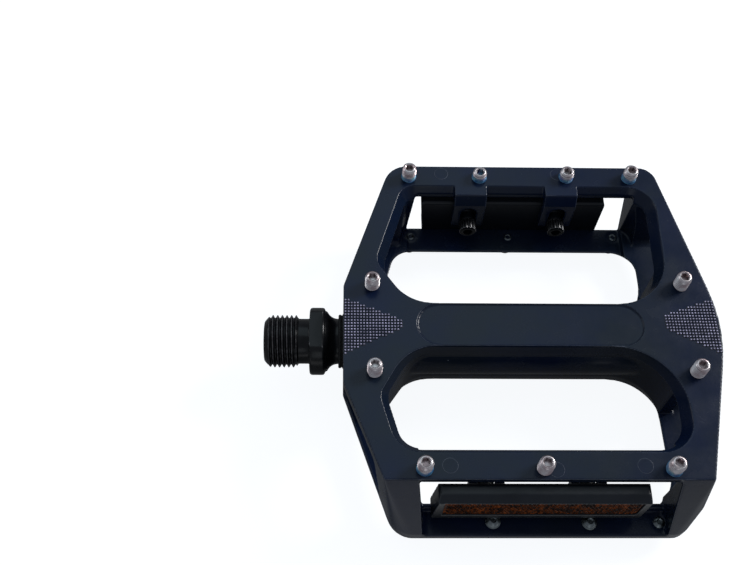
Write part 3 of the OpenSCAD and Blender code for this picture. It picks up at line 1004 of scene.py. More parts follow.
class TurnedPart:
    """Builds a body about the Z axis from rings, with hex pockets, ribs and real threads."""

    RIB_DEPTH = 0.17
    RIB_EVERY = 3
    SAME_SPOT = 1e-4

    def __init__(self, segments: int = 48, flat: float = 7.5) -> None:
        """Starts an empty part.

        Args:
            segments: Points in each ring, a multiple of 12.
            flat: Half the distance across flats, where the section has flats.
        """
        self.segments = segments
        self.flat = flat
        self.mesh = bmesh.new()

    def spot(self, index: int, radius: float, outline: Outline) -> tuple[float, float]:
        """Place of one point of a ring, across the axis.

        Args:
            index: Which point of the ring.
            radius: Radius, or half the width across flats of a hexagon.
            outline: The section.

        Returns:
            The point's x and y.
        """
        angle = FULL_TURN * index / self.segments
        if outline is Outline.HEX:
            radius /= math.cos((angle + math.pi / 6) % (math.pi / 3) - math.pi / 6)
        if outline is Outline.RIBS and index % self.RIB_EVERY == 0:
            radius -= self.RIB_DEPTH
        x, y = radius * math.cos(angle), radius * math.sin(angle)
        if outline is Outline.FLATS:
            x = max(-self.flat, min(self.flat, x))
        return x, y

    def ring(self, stop: Stop) -> list[bmesh.types.BMVert]:
        """Adds the points of one ring."""
        return [self.mesh.verts.new((*self.spot(i, stop.radius, stop.outline), stop.z))
                for i in range(self.segments)]

    def skin(self, wall: Sequence[Stop], close_start: bool = False, close_end: bool = False) -> None:
        """Adds a wall through rings.

        Args:
            wall: The rings, in order.
            close_start: Whether the first ring is filled.
            close_end: Whether the last ring is filled.
        """
        rings = [self.ring(stop) for stop in wall]
        for stop, a, b in zip(wall, rings, rings[1:]):
            for i in range(self.segments):
                k = (i + 1) % self.segments
                self.mesh.faces.new((a[i], a[k], b[k], b[i])).material_index = stop.material
        for close, ring, stop in ((close_start, rings[0], wall[0]), (close_end, rings[-1], wall[-1])):
            if close:
                middle = self.mesh.verts.new((0, 0, stop.z))
                for i in range(self.segments):
                    face = self.mesh.faces.new((ring[i], ring[(i + 1) % self.segments], middle))
                    face.material_index = stop.material

    def thread(self, thread: Thread) -> None:
        """Adds a helical thread whose ends fade into plain circles of the core's radius.

        Args:
            thread: The thread's sizes.
        """
        turns = math.ceil((thread.end - thread.start) / thread.pitch) + 1
        per_turn = len(thread.flanks)
        rows = []
        for row in range(-2 * per_turn, turns * per_turn + 1):
            turn, step = divmod(row, per_turn)
            offset, share = thread.flanks[step]
            line = []
            for i in range(self.segments):
                z = thread.start + thread.phase + (turn + offset + i / self.segments) * thread.pitch
                z = max(thread.start, min(thread.end, z))
                x, y = self.spot(i, thread.height(z, share), Outline.ROUND)
                line.append(self.mesh.verts.new((x, y, z)))
            rows.append(line)
        for row in range(len(rows) - 1):
            a, b = rows[row], rows[row + 1]
            for i in range(self.segments - 1):
                self.mesh.faces.new((a[i], a[i + 1], b[i + 1], b[i]))
            if row + per_turn + 1 < len(rows):
                c, d = rows[row + per_turn], rows[row + per_turn + 1]
                self.mesh.faces.new((a[-1], c[0], d[0], b[-1]))

    def finish(self, name: str, matrix: Matrix = Matrix.Identity(4), angle: float = SMOOTH_BELOW
               ) -> bpy.types.Object:
        """Welds the part, turns its faces outwards and places it.

        Args:
            name: Name of the piece.
            matrix: Place of the part, in metres.
            angle: Sharpest angle that is shaded smoothly, in degrees.

        Returns:
            The piece, with its place in its mesh.
        """
        weld = self.mesh
        bmesh.ops.remove_doubles(weld, verts=weld.verts, dist=self.SAME_SPOT)
        bmesh.ops.dissolve_degenerate(weld, edges=weld.edges, dist=self.SAME_SPOT)
        bmesh.ops.recalc_face_normals(weld, faces=weld.faces)
        weld.transform(matrix @ Matrix.Scale(MM, 4))
        piece = from_bmesh(name, weld)
        soften_shading(piece.data, angle)
        return piece


class Recipe(Wiring):
    """A Geometry Nodes tree with named inputs, used once to grow a plain mesh on points."""

    def __init__(self, name: str) -> None:
        """Starts a tree with a geometry input and output.

        Args:
            name: The tree's name.
        """
        super().__init__(bpy.data.node_groups.new(name, "GeometryNodeTree"))
        self.values: dict[str, object] = {}
        for way in ("INPUT", "OUTPUT"):
            self.tree.interface.new_socket("Geometry", in_out=way, socket_type="NodeSocketGeometry")
        self.source = self.tree.nodes.new("NodeGroupInput")
        self.sink = self.tree.nodes.new("NodeGroupOutput")

    def size(self, name: str, value: object, kind: str = "NodeSocketFloat") -> Socket:
        """Adds a named input.

        Args:
            name: The input's name.
            value: What the modifier sets it to.
            kind: The socket's type.

        Returns:
            Its output inside the tree.
        """
        socket = self.tree.interface.new_socket(name, in_out="INPUT", socket_type=kind)
        self.values[socket.identifier] = value
        return self.source.outputs[name]

    def turned_below(self, spin: float) -> Socket:
        """Rotation that stands a copy on the upper face, or turns it over below the pedal.

        Args:
            spin: Turn about the copy's own axis, in radians.

        Returns:
            The rotation output.
        """
        place = self.node("GeometryNodeInputPosition")
        split = self.node("ShaderNodeSeparateXYZ", Vector=place.outputs[0])
        below = self.node("FunctionNodeCompare", A=split.outputs["Z"])
        below.data_type = "FLOAT"
        below.operation = "LESS_THAN"
        turn = self.node("GeometryNodeSwitch", Switch=below.outputs[0])
        turn.input_type = "VECTOR"
        turn.inputs["False"].default_value = (0, 0, spin)
        turn.inputs["True"].default_value = (math.pi, 0, spin)
        return self.node("FunctionNodeEulerToRotation", Euler=turn.outputs[0]).outputs[0]

    def grow(self, name: str, points: Iterable[Vector], item: Socket, turn: Socket,
             finish: Finish) -> bpy.types.Object:
        """Stands a copy of an item on each point and keeps the result as a plain mesh.

        Args:
            name: Name of the piece.
            points: Where each copy's origin goes.
            item: Geometry that is copied.
            turn: Rotation of the copies.
            finish: Finish of the whole result.

        Returns:
            The grown piece.
        """
        cloud = self.node("GeometryNodeMeshToPoints", Mesh=self.source.outputs[0])
        placed = self.node("GeometryNodeInstanceOnPoints", Points=cloud.outputs[0], Instance=item,
                           Rotation=turn)
        real = self.node("GeometryNodeRealizeInstances", Geometry=placed.outputs[0])
        coat = self.node("GeometryNodeSetMaterial", Geometry=real.outputs[0], Material=finish.make())
        self.connect(coat.outputs[0], self.sink.inputs[0])
        mesh = bpy.data.meshes.new(name + "_points")
        mesh.from_pydata([tuple(p) for p in points], [], [])
        obj = new_object(name, mesh)
        modifier = obj.modifiers.new(self.tree.name, "NODES")
        modifier.node_group = self.tree
        for identifier, value in self.values.items():
            modifier[identifier] = value
        return bake_modifiers(obj)


# ---------------------------------------------------------------- the cage


@dataclass(frozen=True)
class Knurl:
    """A blunt triangle of small pyramids pressed into a face, pointing at the spindle bar."""

    tip: float
    base: float
    tip_width: float
    base_width: float
    tip_middle: float
    base_middle: float
    pitch: float = 0.82
    row_step: float = 0.87

    def spots(self) -> list[Vector]:
        """Lays out the pyramids in columns from the base to the tip.

        Returns:
            Their places on the upper face, in millimetres from the cage's middle.
        """
        found = []
        run = 1 if self.base > self.tip else -1
        for column in range(int(abs(self.base - self.tip) / self.pitch) + 1):
            x = self.base - run * column * self.pitch
            share = (x - self.tip) / (self.base - self.tip)
            reach = self.tip_width + share * (self.base_width - self.tip_width)
            middle = self.tip_middle + share * (self.base_middle - self.tip_middle)
            low = math.ceil((middle - reach) / self.row_step)
            high = math.floor((middle + reach) / self.row_step)
            found += [Vector((x, row * self.row_step, 0)) for row in range(low, high + 1)]
        return found


@dataclass
class Cage:
    """The cast cage: soft-edged body, knurled corners and the rings that ejector pins leave."""

    casting: Casting = Casting(0.27, 4, 190000)
    plug_radius: float = 2.3
    plug_sides: int = 32
    rail_plug: float = 2.2
    arm_plug: float = 3.5
    knurls: tuple[Knurl, ...] = (
        Knurl(tip=-34.9, base=-50.0, tip_width=1.2, base_width=8.3, tip_middle=0.0, base_middle=-0.7),
        Knurl(tip=34.9, base=49.6, tip_width=1.8, base_width=8.5, tip_middle=0.8, base_middle=-0.4),
    )
    knurl_height: float = 0.36
    knurl_top: float = 0.17
    knurl_spread: float = 0.69
    knurl_sink: float = 0.03
    knurl_margin: float = 0.45
    flatness: float = 0.02
    marks: tuple[tuple[float, float], ...] = (
        (-22.5, 48.5), (11.2, 48.5), (-24.1, -38.9), (2.1, -39.9), (24.2, -38.9))
    mark_radius: float = 2.0
    mark_height: float = 0.07

    def build(self) -> None:
        """Makes the casting and what is pressed into its faces."""
        self.body()
        self.knurling()
        self.ejector_marks()

    def body(self) -> bpy.types.Object:
        """The casting itself, with its threaded holes filled by the pins' plugs.

        Returns:
            The piece.
        """
        solid = welded_copy("pedal_body")
        radius = self.plug_radius * MM
        for node in PIN_NODES:
            depth = (self.rail_plug if "rail" in node else self.arm_plug) * MM
            for low, high in islands(node):
                middle = (low + high) / 2
                place = Vector((middle.x, middle.y, side_of(low, high) * (FACE_HEIGHT - depth / 2)))
                bmesh.ops.create_cone(solid, cap_ends=True, segments=self.plug_sides, radius1=radius,
                                      radius2=radius, depth=depth, matrix=Matrix.Translation(place))
        piece = self.casting.soften("cage_casting", solid)
        return dress(piece, "cage", ["pedal_body"], [PAINT])

    def on_face(self, point: Vector, tree: BVHTree) -> bool:
        """Looks whether the flat face reaches all round a point.

        Args:
            point: The point, on the upper side.
            tree: The solid cage.

        Returns:
            Whether a pyramid may stand there.
        """
        reach = self.knurl_margin * MM
        for dx, dy in ((0, 0), (reach, 0), (-reach, 0), (0, reach), (0, -reach)):
            above = Vector((point.x + dx, point.y + dy, FACE_HEIGHT + MM))
            hit = tree.ray_cast(above, Vector((0, 0, -1)), 2 * MM)[0]
            if hit is None or abs(hit.z - FACE_HEIGHT) > self.flatness * MM:
                return False
        return True

    def knurling(self) -> bpy.types.Object:
        """Rows of four-sided pyramids on both faces, grown on the places that the knurls give.

        Returns:
            The piece.
        """
        solid = welded_copy("pedal_body")
        tree = BVHTree.FromBMesh(solid)
        solid.free()
        corner = Vector((CAGE_MIDDLE, 0, FACE_HEIGHT - self.knurl_sink * MM))
        places = [corner + spot * MM for knurl in self.knurls for spot in knurl.spots()]
        points = [point for place in places if self.on_face(place, tree)
                  for point in (place, HALF_TURN @ place)]
        recipe = Recipe("knurl_rows")
        pitch = recipe.size("Pitch", self.knurls[0].pitch * MM)
        height = recipe.size("Height", self.knurl_height * MM)
        radius = recipe.node("ShaderNodeMath")
        radius.operation = "MULTIPLY"
        recipe.connect(pitch, radius.inputs[0])
        recipe.connect(self.knurl_spread, radius.inputs[1])
        cone = recipe.node("GeometryNodeMeshCone", Vertices=4, Radius_Top=self.knurl_top * MM,
                           Radius_Bottom=radius.outputs[0], Depth=height)
        piece = recipe.grow("cage_knurling", points, cone.outputs["Mesh"],
                            recipe.turned_below(math.pi / 4), KNURLED)
        return dress(piece, "cage")

    def ejector_marks(self) -> bpy.types.Object:
        """Slightly raised discs that the mould's ejector pins leave on the rails.

        Returns:
            The piece, with all the discs.
        """
        tall = self.mark_height
        disc = ((-0.3, 0.0), (0.0, 0.0), (tall * 0.8, -0.05), (tall, -0.16), (tall * 0.6, -0.6))
        part = TurnedPart(48)
        part.skin(stops(disc, rim=self.mark_radius), close_start=True, close_end=True)
        pattern = part.finish("mark")
        places = [Vector((CAGE_MIDDLE + x * MM, y * MM, FACE_HEIGHT)) for x, y in self.marks]
        points = [point for place in places for point in (place, HALF_TURN @ place)]
        recipe = Recipe("cage_ejector_marks_set")
        item = recipe.size("Pattern", pattern, "NodeSocketObject")
        info = recipe.node("GeometryNodeObjectInfo", Object=item)
        piece = recipe.grow("cage_ejector_marks", points, info.outputs["Geometry"],
                            recipe.turned_below(0.0), PAINT)
        bpy.data.objects.remove(pattern)
        return dress(piece, "cage")


# ---------------------------------------------------------------- grip pins


@dataclass(frozen=True)
class GripPin:
    """One threaded grip pin with a key socket in its tip."""

    radius: float = 2.0
    pitch: float = 0.7
    thread_depth: float = 0.36
    lead_in: float = 0.5
    run_out: float = 0.35
    foot_height: float = 0.8
    neck_height: float = 0.5
    foot: Profile = ((0.3, 0.5), (0.0, 0.8), (0.12, 1.1))
    crown: Profile = ((-0.42, 1.84), (-0.36, 1.88), (-0.05, 1.56), (0.0, 1.48), (0.0, 1.34))
    mouth: Profile = ((-0.1, 1.2),)
    socket: Profile = ((-0.22, 1.0), (-1.6, 1.0))

    def pattern(self, length: float) -> bpy.types.Object:
        """Makes a pin that stands on the origin.

        Args:
            length: From foot to tip, in millimetres.

        Returns:
            The pin: plate, socket and foot as its three materials.
        """
        part = TurnedPart(36)
        core = self.radius - self.thread_depth
        neck = length - self.neck_height
        part.skin(stops(self.foot, material=2) + [Stop(self.foot_height, core, material=2)],
                  close_start=True)
        part.thread(Thread(self.foot_height, neck, self.radius, self.pitch, self.thread_depth,
                           self.lead_in, self.run_out))
        part.skin([Stop(neck, core)] + stops(self.crown, length) + stops(self.mouth, length, material=1)
                  + stops(self.socket, length, outline=Outline.HEX, material=1), close_end=True)
        return part.finish("pin_pattern")


@dataclass(frozen=True)
class ResinCollar:
    """The ragged collar of thread-locking resin round a pin's foot, in millimetres."""

    height: float = 0.9
    least: float = 0.15
    level: float = 0.55
    waves: tuple[tuple[int, int, float], ...] = ((1, 1, 0.30), (3, 2, 0.16), (7, 1, 0.09))
    skin: float = 0.07
    spread: float = 0.22
    bite: float = 0.05
    tuck: float = 0.12
    sink: float = 0.05
    wobble: float = 0.012
    around: int = 40
    rings: int = 6

    def spot(self, angle: float, share: float, seed: float, pin: float) -> tuple[float, float, float]:
        """Place of a point on the collar.

        Args:
            angle: Direction from the pin's axis.
            share: How far up the collar it lies, from 0 to 1.
            seed: Number that makes each collar's rim its own.
            pin: Radius of the pin.

        Returns:
            The point's x, y and z, from the pin's axis and the face, in millimetres.
        """
        tall = self.height * sum((size * math.sin(count * angle + shift * seed)
                                  for count, shift, size in self.waves), self.level)
        out = self.skin + self.spread * (1 - share) ** 3 if share < 1 else -self.tuck
        radius = (pin - self.bite + out) * (1 + self.wobble * math.sin(5 * angle + seed + 9 * share))
        height = max(tall, self.least) * share - self.sink
        return radius * math.cos(angle), radius * math.sin(angle), height

    def add(self, mesh: bmesh.types.BMesh, centre: Vector, up: int, seed: float, pin: float) -> None:
        """Adds one collar to a mesh.

        Args:
            mesh: The mesh.
            centre: Middle of the pin.
            up: One on the upper face, minus one on the lower.
            seed: Number that makes each collar's rim its own.
            pin: Radius of the pin.
        """
        loops = []
        for ring in range(self.rings):
            share = ring / (self.rings - 1)
            loop = []
            for i in range(self.around):
                x, y, z = self.spot(FULL_TURN * i / self.around, share, seed, pin)
                loop.append(mesh.verts.new((centre.x + x * MM, centre.y + up * y * MM,
                                            up * (FACE_HEIGHT + z * MM))))
            loops.append(loop)
        for a, b in zip(loops, loops[1:]):
            for i in range(self.around):
                k = (i + 1) % self.around
                mesh.faces.new((a[i], a[k], b[k], b[i]))
        mesh.faces.new(loops[0])
        mesh.faces.new(loops[-1])


@dataclass
class GripPins:
    """All grip pins, one piece for each row, and the resin at the foot of some."""

    pin: GripPin = GripPin()
    collar: ResinCollar = ResinCollar()
    resin_rows: tuple[str, ...] = ("wide_rail", "narrow_rail")
    dry_pin: tuple[str, int] = ("narrow_rail", 1)
    first_turn: float = 0.6
    next_turn: float = 1.7
    resin_step: float = 3.1
    resin_shift: float = 1.7
    resin_smooth: float = 70.0

    def build(self) -> None:
        """Makes each row of pins and the resin."""
        for node in PIN_NODES:
            self.row(node)
        self.resin()

    def resin_on(self, node: str) -> bool:
        """Whether a row's pins are set in resin."""
        return any(name in node for name in self.resin_rows)

    def row(self, node: str) -> bpy.types.Object:
        """Pins of one CAD node, threaded and with their sockets outwards.

        Args:
            node: The CAD node.

        Returns:
            The piece that stands for it.
        """
        boxes = islands(node)
        up = side_of(*boxes[0]) > 0
        pattern = self.pin.pattern((boxes[0][1].z - boxes[0][0].z) / MM)
        turn = Matrix.Identity(4) if up else HALF_TURN
        copies = []
        for index, (low, high) in enumerate(boxes):
            foot = Vector(((low.x + high.x) / 2, (low.y + high.y) / 2, low.z if up else high.z))
            spin = Matrix.Rotation(self.first_turn + self.next_turn * index, 4, "Z")
            copies.append((pattern, Matrix.Translation(foot) @ turn @ spin))
        piece = join_copies(node.replace("_pins", "_grip_pins"), copies)
        bpy.data.objects.remove(pattern)
        plate = WETTED if self.resin_on(node) else PLATE
        return dress(piece, "cage", [node], [plate, SOCKET, UNPLATED_SHADED])

    def resin(self) -> bpy.types.Object:
        """Resin collars round the rail pins, except the one that was set dry.

        Returns:
            The piece, with all the collars.
        """
        mesh = bmesh.new()
        for node in filter(self.resin_on, PIN_NODES):
            for index, (low, high) in enumerate(islands(node)):
                if self.dry_pin[0] in node and index == self.dry_pin[1]:
                    continue
                seed = self.resin_step * index + (0.0 if "wide" in node else self.resin_shift)
                self.collar.add(mesh, (low + high) / 2, side_of(low, high), seed, self.pin.radius)
        bmesh.ops.recalc_face_normals(mesh, faces=mesh.faces)
        piece = from_bmesh("pin_resin", mesh)
        soften_shading(piece.data, self.resin_smooth)
        return dress(piece, "cage", (), [RESIN])


# ---------------------------------------------------------------- spindle and its bearings


@dataclass
class Spindle:
    """The threaded spindle: crank thread, undercut, collar with flats and the long shaft."""

    thread_radius: float = 7.144
    end_radius: float = 5.54
    end_bevel: tuple[float, float] = (0.12, 0.2)
    pitch: float = 1.27
    thread_depth: float = 0.74
    lead_in: float = 0.85
    run_out: float = 0.45
    last_crest: float = -3.76
    crest_share: float = 0.4
    neck_start: float = -3.2
    neck_slope: float = 0.25
    neck_radius: float = 6.15
    fillet: float = 0.45
    collar_radius: float = 9.2
    collar_length: float = 4.2
    round_over: float = 0.75
    flat: float = 7.5
    key: float = 3.0
    key_depth: float = 7.0
    key_bevel: float = 0.35
    key_flare: float = 1.22
    sweep_end: float = 7.7
    sweep_radius: float = 6.2
    sweep_rise: float = 0.9
    sweep_arc: tuple[float, float, int] = (205, 65, 12)
    race_start: float = -1.58
    race_middle: float = 6.95
    race_groove: float = 1.6375
    race_arc: tuple[float, float, int] = (207, 63, 7)
    waist: Profile = ((6.0, 5.2), (12.0, 4.6))
    journal: Profile = ((-6.0, 3.95), (-5.0, 3.43))
    tail: Profile = ((-0.6, 3.43), (0.0, 2.85))

    def build(self) -> bpy.types.Object:
        """Turns the whole spindle about the X axis.

        Returns:
            The piece.
        """
        part = TurnedPart(96, self.flat)
        core = self.thread_radius - self.thread_depth
        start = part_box("spindle")[0].x / MM
        first = start + core - self.end_radius
        socket = ((self.key_depth, self.key), (self.key_bevel, self.key))
        end = ((0.0, self.key * self.key_flare), (0.0, self.end_radius - self.end_bevel[1]),
               (self.end_bevel[0], self.end_radius))
        part.skin(stops(socket, start, outline=Outline.HEX) + stops(end, start) + [Stop(first, core)],
                  close_start=True)
        phase = (self.last_crest - self.crest_share * self.pitch - first) % self.pitch
        part.thread(Thread(first, self.neck_start, self.thread_radius, self.pitch, self.thread_depth,
                           self.lead_in, self.run_out, phase))
        neck = ((0.0, core), (self.neck_slope, self.neck_radius))
        part.skin(stops(neck, self.neck_start) + self.collar() + self.shaft(), close_end=True)
        piece = part.finish("pedal_spindle", ALONG_X, 30.0)
        return dress(piece, "spindle", ["spindle"], [BLACKED])

    def collar(self) -> list[Stop]:
        """The undercut's fillet, the flange with rounded rims and two flats, and the sweep behind it.

        Returns:
            The rings, in order.
        """
        fillet, edge = self.fillet, self.round_over
        inner = self.collar_radius - edge
        rim = self.collar_length - edge
        rings = [Stop(-fillet + fillet * math.sin(a), self.neck_radius + fillet * (1 - math.cos(a)))
                 for a in (0.0, 0.5, 1.0, math.pi / 2)]
        rings.append(Stop(0.0, inner, Outline.FLATS))
        rings += [Stop(edge * (1 - math.cos(a)), inner + edge * math.sin(a), Outline.FLATS)
                  for a in ROUNDING]
        rings.append(Stop(rim, self.collar_radius, Outline.FLATS))
        rings += [Stop(rim + edge * math.cos(a), inner + edge * math.sin(a))
                  for a in reversed(ROUNDING)]
        sweep = inner - self.sweep_radius + self.sweep_rise
        return rings + arc(self.sweep_end, self.sweep_radius + sweep, sweep, *self.sweep_arc)

    def shaft(self) -> list[Stop]:
        """The ground shaft inside the cage, down to the threaded end for the cone.

        Returns:
            The rings, in order.
        """
        inner, outer = [sum(corner.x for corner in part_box(balls)) / 2 / MM
                        for balls in ("inner_bearing_balls", "outer_bearing_balls")]
        race = arc(inner, self.race_middle, self.race_groove, *self.race_arc)
        return ([Stop(inner + self.race_start, self.sweep_radius)] + race + stops(self.waist, inner)
                + stops(self.journal, outer) + stops(self.tail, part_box("spindle")[1].x / MM))


@dataclass
class DustSeal:
    """The rubber seal between the spindle and the cage, with a rolled lip."""

    bore: float = 6.28
    wall: float = 1.2
    bevel: float = 0.15
    flange: float = 1.8
    recess: float = 1.6
    lip: Profile = ((0.5, 6.28), (0.12, 6.38), (0.0, 6.58), (0.0, 7.05), (0.1, 7.25), (0.35, 7.34),
                    (0.7, 7.3), (0.85, 7.12), (1.0, 7.12), (1.15, 7.45), (1.7, 7.58))

    def build(self) -> bpy.types.Object:
        """Turns the seal with softened rims and one groove in its flange.

        Returns:
            The piece.
        """
        low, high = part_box("dust_seal")
        near, far, rim = low.x / MM, high.x / MM, high.y / MM
        step = near + self.flange
        back = step + self.recess
        part = TurnedPart(72)
        part.skin(stops(self.lip, near) + [
            Stop(step, rim - self.bevel), Stop(step + self.bevel, rim), Stop(far, rim),
            Stop(far, rim - self.wall), Stop(back, rim - self.wall), Stop(back, self.bore)]
            + stops(self.lip[:1], near))
        piece = part.finish("dust_seal_ring", ALONG_X, 50.0)
        return dress(piece, "cage", ["dust_seal"], [RUBBER])


@dataclass
class EndCap:
    """The plastic cap over the outboard bearing, with a key recess."""

    wall: float = 1.0
    skirt: float = 2.4
    recess: Profile = ((-1.0, 2.5), (-0.12, 2.5))
    dish: Profile = ((-0.05, 2.95), (-0.02, 4.4), (-0.18, 4.6), (-0.18, 5.0), (-0.02, 5.2))
    shoulder: Profile = ((0.0, -0.7), (-0.08, -0.35), (-0.3, -0.08), (-0.6, 0.0))

    def build(self) -> bpy.types.Object:
        """Turns the cap with a rounded rim, a shallow dish and its skirt.

        Returns:
            The piece.
        """
        low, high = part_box("end_cap")
        near, face, rim = low.x / MM, high.x / MM, high.y / MM
        part = TurnedPart(72)
        skirt = ((0.0, 0.0), (0.0, -self.wall), (self.skirt, -self.wall))
        part.skin(stops(self.recess, face, outline=Outline.HEX) + stops(self.dish, face)
                  + stops(self.shoulder, face, rim) + stops(skirt, near, rim),
                  close_start=True, close_end=True)
        piece = part.finish("outboard_cap", ALONG_X, 40.0)
        return dress(piece, "cage", ["end_cap"], [PLASTIC])


@dataclass
class Bearings:
    """The bearing parts inside the barrel, which keep their CAD shapes."""

    finishes: dict[str, Finish] = field(default_factory=lambda: {
        "inner_bearing_cup": STEEL, "outer_bearing_cup": STEEL, "cone_nut": STEEL,
        "inner_bearing_balls": POLISHED, "outer_bearing_balls": POLISHED,
        "lock_washer": ZINC, "lock_nut": ZINC})

    def build(self) -> None:
        """Assigns each part its steel."""
        for node, finish in self.finishes.items():
            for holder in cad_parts[node].material_slots:
                holder.material = finish.make()
            LOG.info("%s is dressed in %s", node, finish.name)


# ---------------------------------------------------------------- reflectors


@dataclass(frozen=True)
class RibbedScrew:
    """A cap screw with a ribbed head and a key socket, in millimetres from the head's face."""

    socket: Profile = ((1.6, 1.25), (0.14, 1.25))
    crown: Profile = ((0.0, 1.52), (0.0, 1.88), (0.08, 2.08), (0.32, 2.32))
    ribs: Profile = ((0.34, 2.48), (0.42, 2.5), (3.18, 2.5), (3.26, 2.48))
    seat: Profile = ((3.3, 2.34), (3.6, 2.34), (3.6, 1.5))
    point: Profile = ((-0.3, 1.5), (0.0, 1.2))

    def pattern(self, length: float) -> bpy.types.Object:
        """Makes a screw whose head's face lies on the origin.

        Args:
            length: Length over all, in millimetres.

        Returns:
            The screw.
        """
        part = TurnedPart(60)
        part.skin(stops(self.socket, outline=Outline.HEX) + stops(self.crown)
                  + stops(self.ribs, outline=Outline.RIBS) + stops(self.seat)
                  + stops(self.point, length), close_start=True, close_end=True)
        return part.finish("screw")


@dataclass
class Reflector:
    """One side reflector: housing, prismatic lens and two ribbed screws."""

    side: str
    lip: float = 0.0
    lip_top: float = 1.6
    lip_blend: float = 0.4
    casting: Casting = Casting(0.22, 4, 60000)
    lens_casting: Casting = Casting(0.2, 2, 24000)
    prism_pitch: float = 1.05
    prism_row: float = 0.866
    prism_start: tuple[float, float] = (1.0, 1.05)
    prism_radius: float = 0.63
    prism_top: float = 0.03
    prism_height: float = 0.36
    prism_sink: float = 0.04
    screw: RibbedScrew = RibbedScrew()
    screw_turn: float = 0.5

    @property
    def outward(self) -> int:
        """Direction along Y that the lens faces."""
        return 1 if self.side == "rear" else -1

    def build(self) -> None:
        """Makes the housing, the lens and the screws."""
        self.housing()
        self.lens()
        self.screws()

    def housing(self) -> bpy.types.Object:
        """The shell, whose lower edge hangs down by the lip.

        Returns:
            The piece.
        """
        node = self.side + "_reflector_housing"
        piece = self.casting.soften(self.side + "_housing_shell", welded_copy(node))
        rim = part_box(node)[0].z + self.lip_top * MM
        for vert in piece.data.vertices:
            share = (rim - vert.co.z) / (self.lip_blend * MM)
            vert.co.z -= self.lip * MM * min(max(share, 0.0), 1.0)
        return dress(piece, "cage", [node], [PLASTIC])

    def lens(self) -> bpy.types.Object:
        """The lens block with rows of three-sided prisms on its outer face.

        Returns:
            The block.
        """
        node = self.side + "_reflector_lens"
        low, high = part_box(node)
        block = self.lens_casting.soften(self.side + "_lens_block", welded_copy(node))
        face = (high.y if self.outward > 0 else low.y) - self.outward * self.prism_sink * MM
        pitch = self.prism_pitch * MM
        step = pitch * self.prism_row
        across, up = self.prism_start
        points = [Vector((low.x + pitch * (column + across + 0.5 * (row % 2)), face,
                          low.z + step * (row + up)))
                  for row in range(int((high.z - low.z) / step) - 1)
                  for column in range(int((high.x - low.x) / pitch) - 1)]
        recipe = Recipe(self.side + "_prism_rows")
        width = recipe.size("Prism Radius", self.prism_radius * MM)
        height = recipe.size("Prism Height", self.prism_height * MM)
        turn = recipe.size("Turn", Vector((-self.outward * math.pi / 2, 0, 0)), "NodeSocketVector")
        cone = recipe.node("GeometryNodeMeshCone", Vertices=3, Radius_Top=self.prism_top * MM,
                           Radius_Bottom=width, Depth=height)
        euler = recipe.node("FunctionNodeEulerToRotation", Euler=turn)
        prisms = recipe.grow(self.side + "_lens_prisms", points, cone.outputs["Mesh"],
                             euler.outputs[0], AMBER)
        dress(prisms, "cage")
        return dress(block, "cage", [node], [AMBER])

    def screws(self) -> bpy.types.Object:
        """The two screws that clamp the housing in the lugs.

        Returns:
            The piece, with both screws.
        """
        node = self.side + "_reflector_screws"
        boxes = islands(node)
        turn = (Matrix.Rotation(-self.outward * math.pi / 2, 4, "X")
                @ Matrix.Rotation(self.screw_turn, 4, "Z"))
        pattern = self.screw.pattern((boxes[0][1].y - boxes[0][0].y) / MM)
        copies = []
        for low, high in boxes:
            inner = low.y if self.outward > 0 else high.y
            head = Vector(((low.x + high.x) / 2, inner, (low.z + high.z) / 2))
            copies.append((pattern, Matrix.Translation(head) @ turn))
        piece = join_copies(self.side + "_screw_pair", copies)
        bpy.data.objects.remove(pattern)
        return dress(piece, "cage", [node], [BLACKED])


# ---------------------------------------------------------------- studio


@dataclass(frozen=True)
class Softbox:
    """A square studio light that points at the pedal."""

    name: str
    place: tuple[float, float, float]
    width: float
    power: float
    tint: Colour = (1.0, 1.0, 1.0)

    def hang(self, target: Vector) -> None:
        """Adds the light.

        Args:
            target: What it points at.
        """
        data = bpy.data.lights.new(self.name, "AREA")
        data.size = self.width
        data.energy = self.power
        data.color = self.tint
        obj = bpy.data.objects.new(self.name, data)
        obj.location = self.place
        obj.rotation_mode = "QUATERNION"
        obj.rotation_quaternion = (target - Vector(self.place)).to_track_quat("-Z", "Y")
        bpy.context.scene.collection.objects.link(obj)


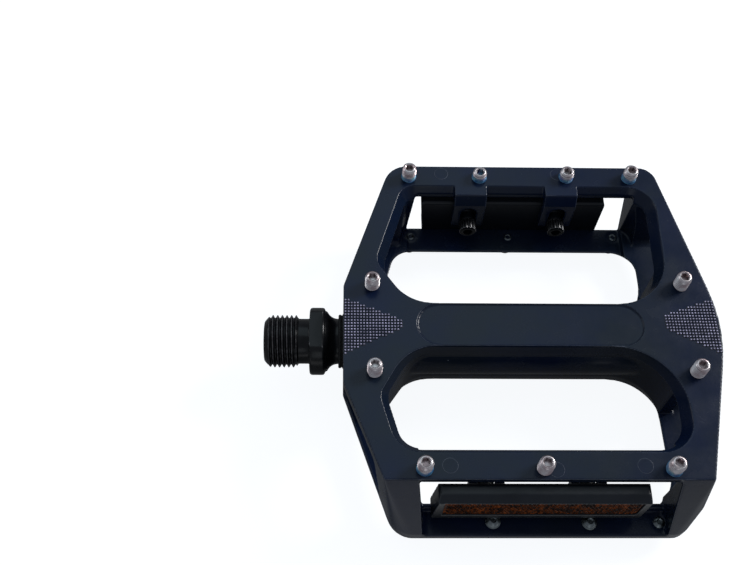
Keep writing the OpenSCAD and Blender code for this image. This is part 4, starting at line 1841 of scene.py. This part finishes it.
@dataclass
class Studio:
    """Camera, floor, world and lights."""

    eye: tuple[float, float, float] = (-0.0004083, -0.1148223, 0.2402638)
    rows: tuple[tuple[float, float, float], ...] = (
        (0.9997009, -0.00585932, -0.02374395),
        (-0.00639777, 0.87440933, -0.48514677),
        (0.02360456, 0.48515357, 0.87411031),
    )
    lens: float = 47.7553
    sensor: float = 36.0
    nearest: float = 0.01
    floor_size: float = 3.0
    ambient: Colour = (0.25, 0.27, 0.31)
    lights: tuple[Softbox, ...] = (
        Softbox("key_box", (0.82, 0.4, 0.62), 0.34, 9.4),
        Softbox("ceiling_panel", (-0.12, 0.62, 1.2), 1.12, 2.8, (0.72, 0.92, 1.0)),
        Softbox("front_box", (-0.02, -0.77, 0.25), 0.28, 0.2, (0.9, 0.97, 1.0)),
        Softbox("left_box", (-0.8, 0.3, 0.36), 0.4, 0.8, (0.92, 0.96, 1.0)),
    )

    def build(self) -> None:
        """Sets up everything that isn't the pedal."""
        self.camera()
        self.floor()
        self.world()
        middle = sum(CAD_BOX, Vector()) / 2
        for light in self.lights:
            light.hang(middle)
        bpy.context.scene.view_settings.view_transform = "Standard"

    def camera(self) -> None:
        """Adds the camera, placed from the cage's crank end, and makes it the scene's own."""
        data = bpy.data.cameras.new("view_camera")
        data.sensor_width = self.sensor
        data.lens = self.lens
        data.clip_start = self.nearest
        obj = bpy.data.objects.new("view_camera", data)
        place = Vector(self.eye) + Vector((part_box("pedal_body")[0].x, 0, 0))
        obj.matrix_world = Matrix.Translation(place) @ Matrix(self.rows).to_4x4()
        bpy.context.scene.collection.objects.link(obj)
        bpy.context.scene.camera = obj

    def floor(self) -> None:
        """Lays the floor under the lowest pin tips."""
        half = self.floor_size / 2
        low = CAD_BOX[0].z
        mesh = bpy.data.meshes.new("floor")
        corners = [(-half, -half, low), (half, -half, low), (half, half, low), (-half, half, low)]
        mesh.from_pydata(corners, [], [(0, 1, 2, 3)])
        obj = new_object("floor", mesh)
        obj.data.materials.append(StudioFloor().make())

    def world(self) -> None:
        """White where the camera sees it, and a dim sky for the light."""
        world = bpy.data.worlds.new("studio")
        bpy.context.scene.world = world
        world.use_nodes = True
        wires = Wiring(world.node_tree)
        sky = world.node_tree.nodes["Background"]
        sky.inputs["Color"].default_value = (*self.ambient, 1.0)
        white = wires.node("ShaderNodeBackground", Color=(1.0, 1.0, 1.0, 1.0))
        path = wires.node("ShaderNodeLightPath")
        mix = wires.node("ShaderNodeMixShader")
        feeds = (path.outputs["Is Camera Ray"], sky.outputs[0], white.outputs[0])
        for index, output in enumerate(feeds):
            wires.connect(output, mix.inputs[index])
        wires.connect(mix.outputs[0], world.node_tree.nodes["World Output"].inputs["Surface"])


def main() -> None:
    logging.basicConfig(level=logging.INFO, format="%(name)s: %(message)s")
    Studio().build()
    for part in (Cage(), GripPins(), Spindle(), DustSeal(), EndCap(), Bearings(),
                 Reflector("front"), Reflector("rear", lip=1.1)):
        LOG.info("building %s", type(part).__name__)
        part.build()


if __name__ == "__main__":
    main()
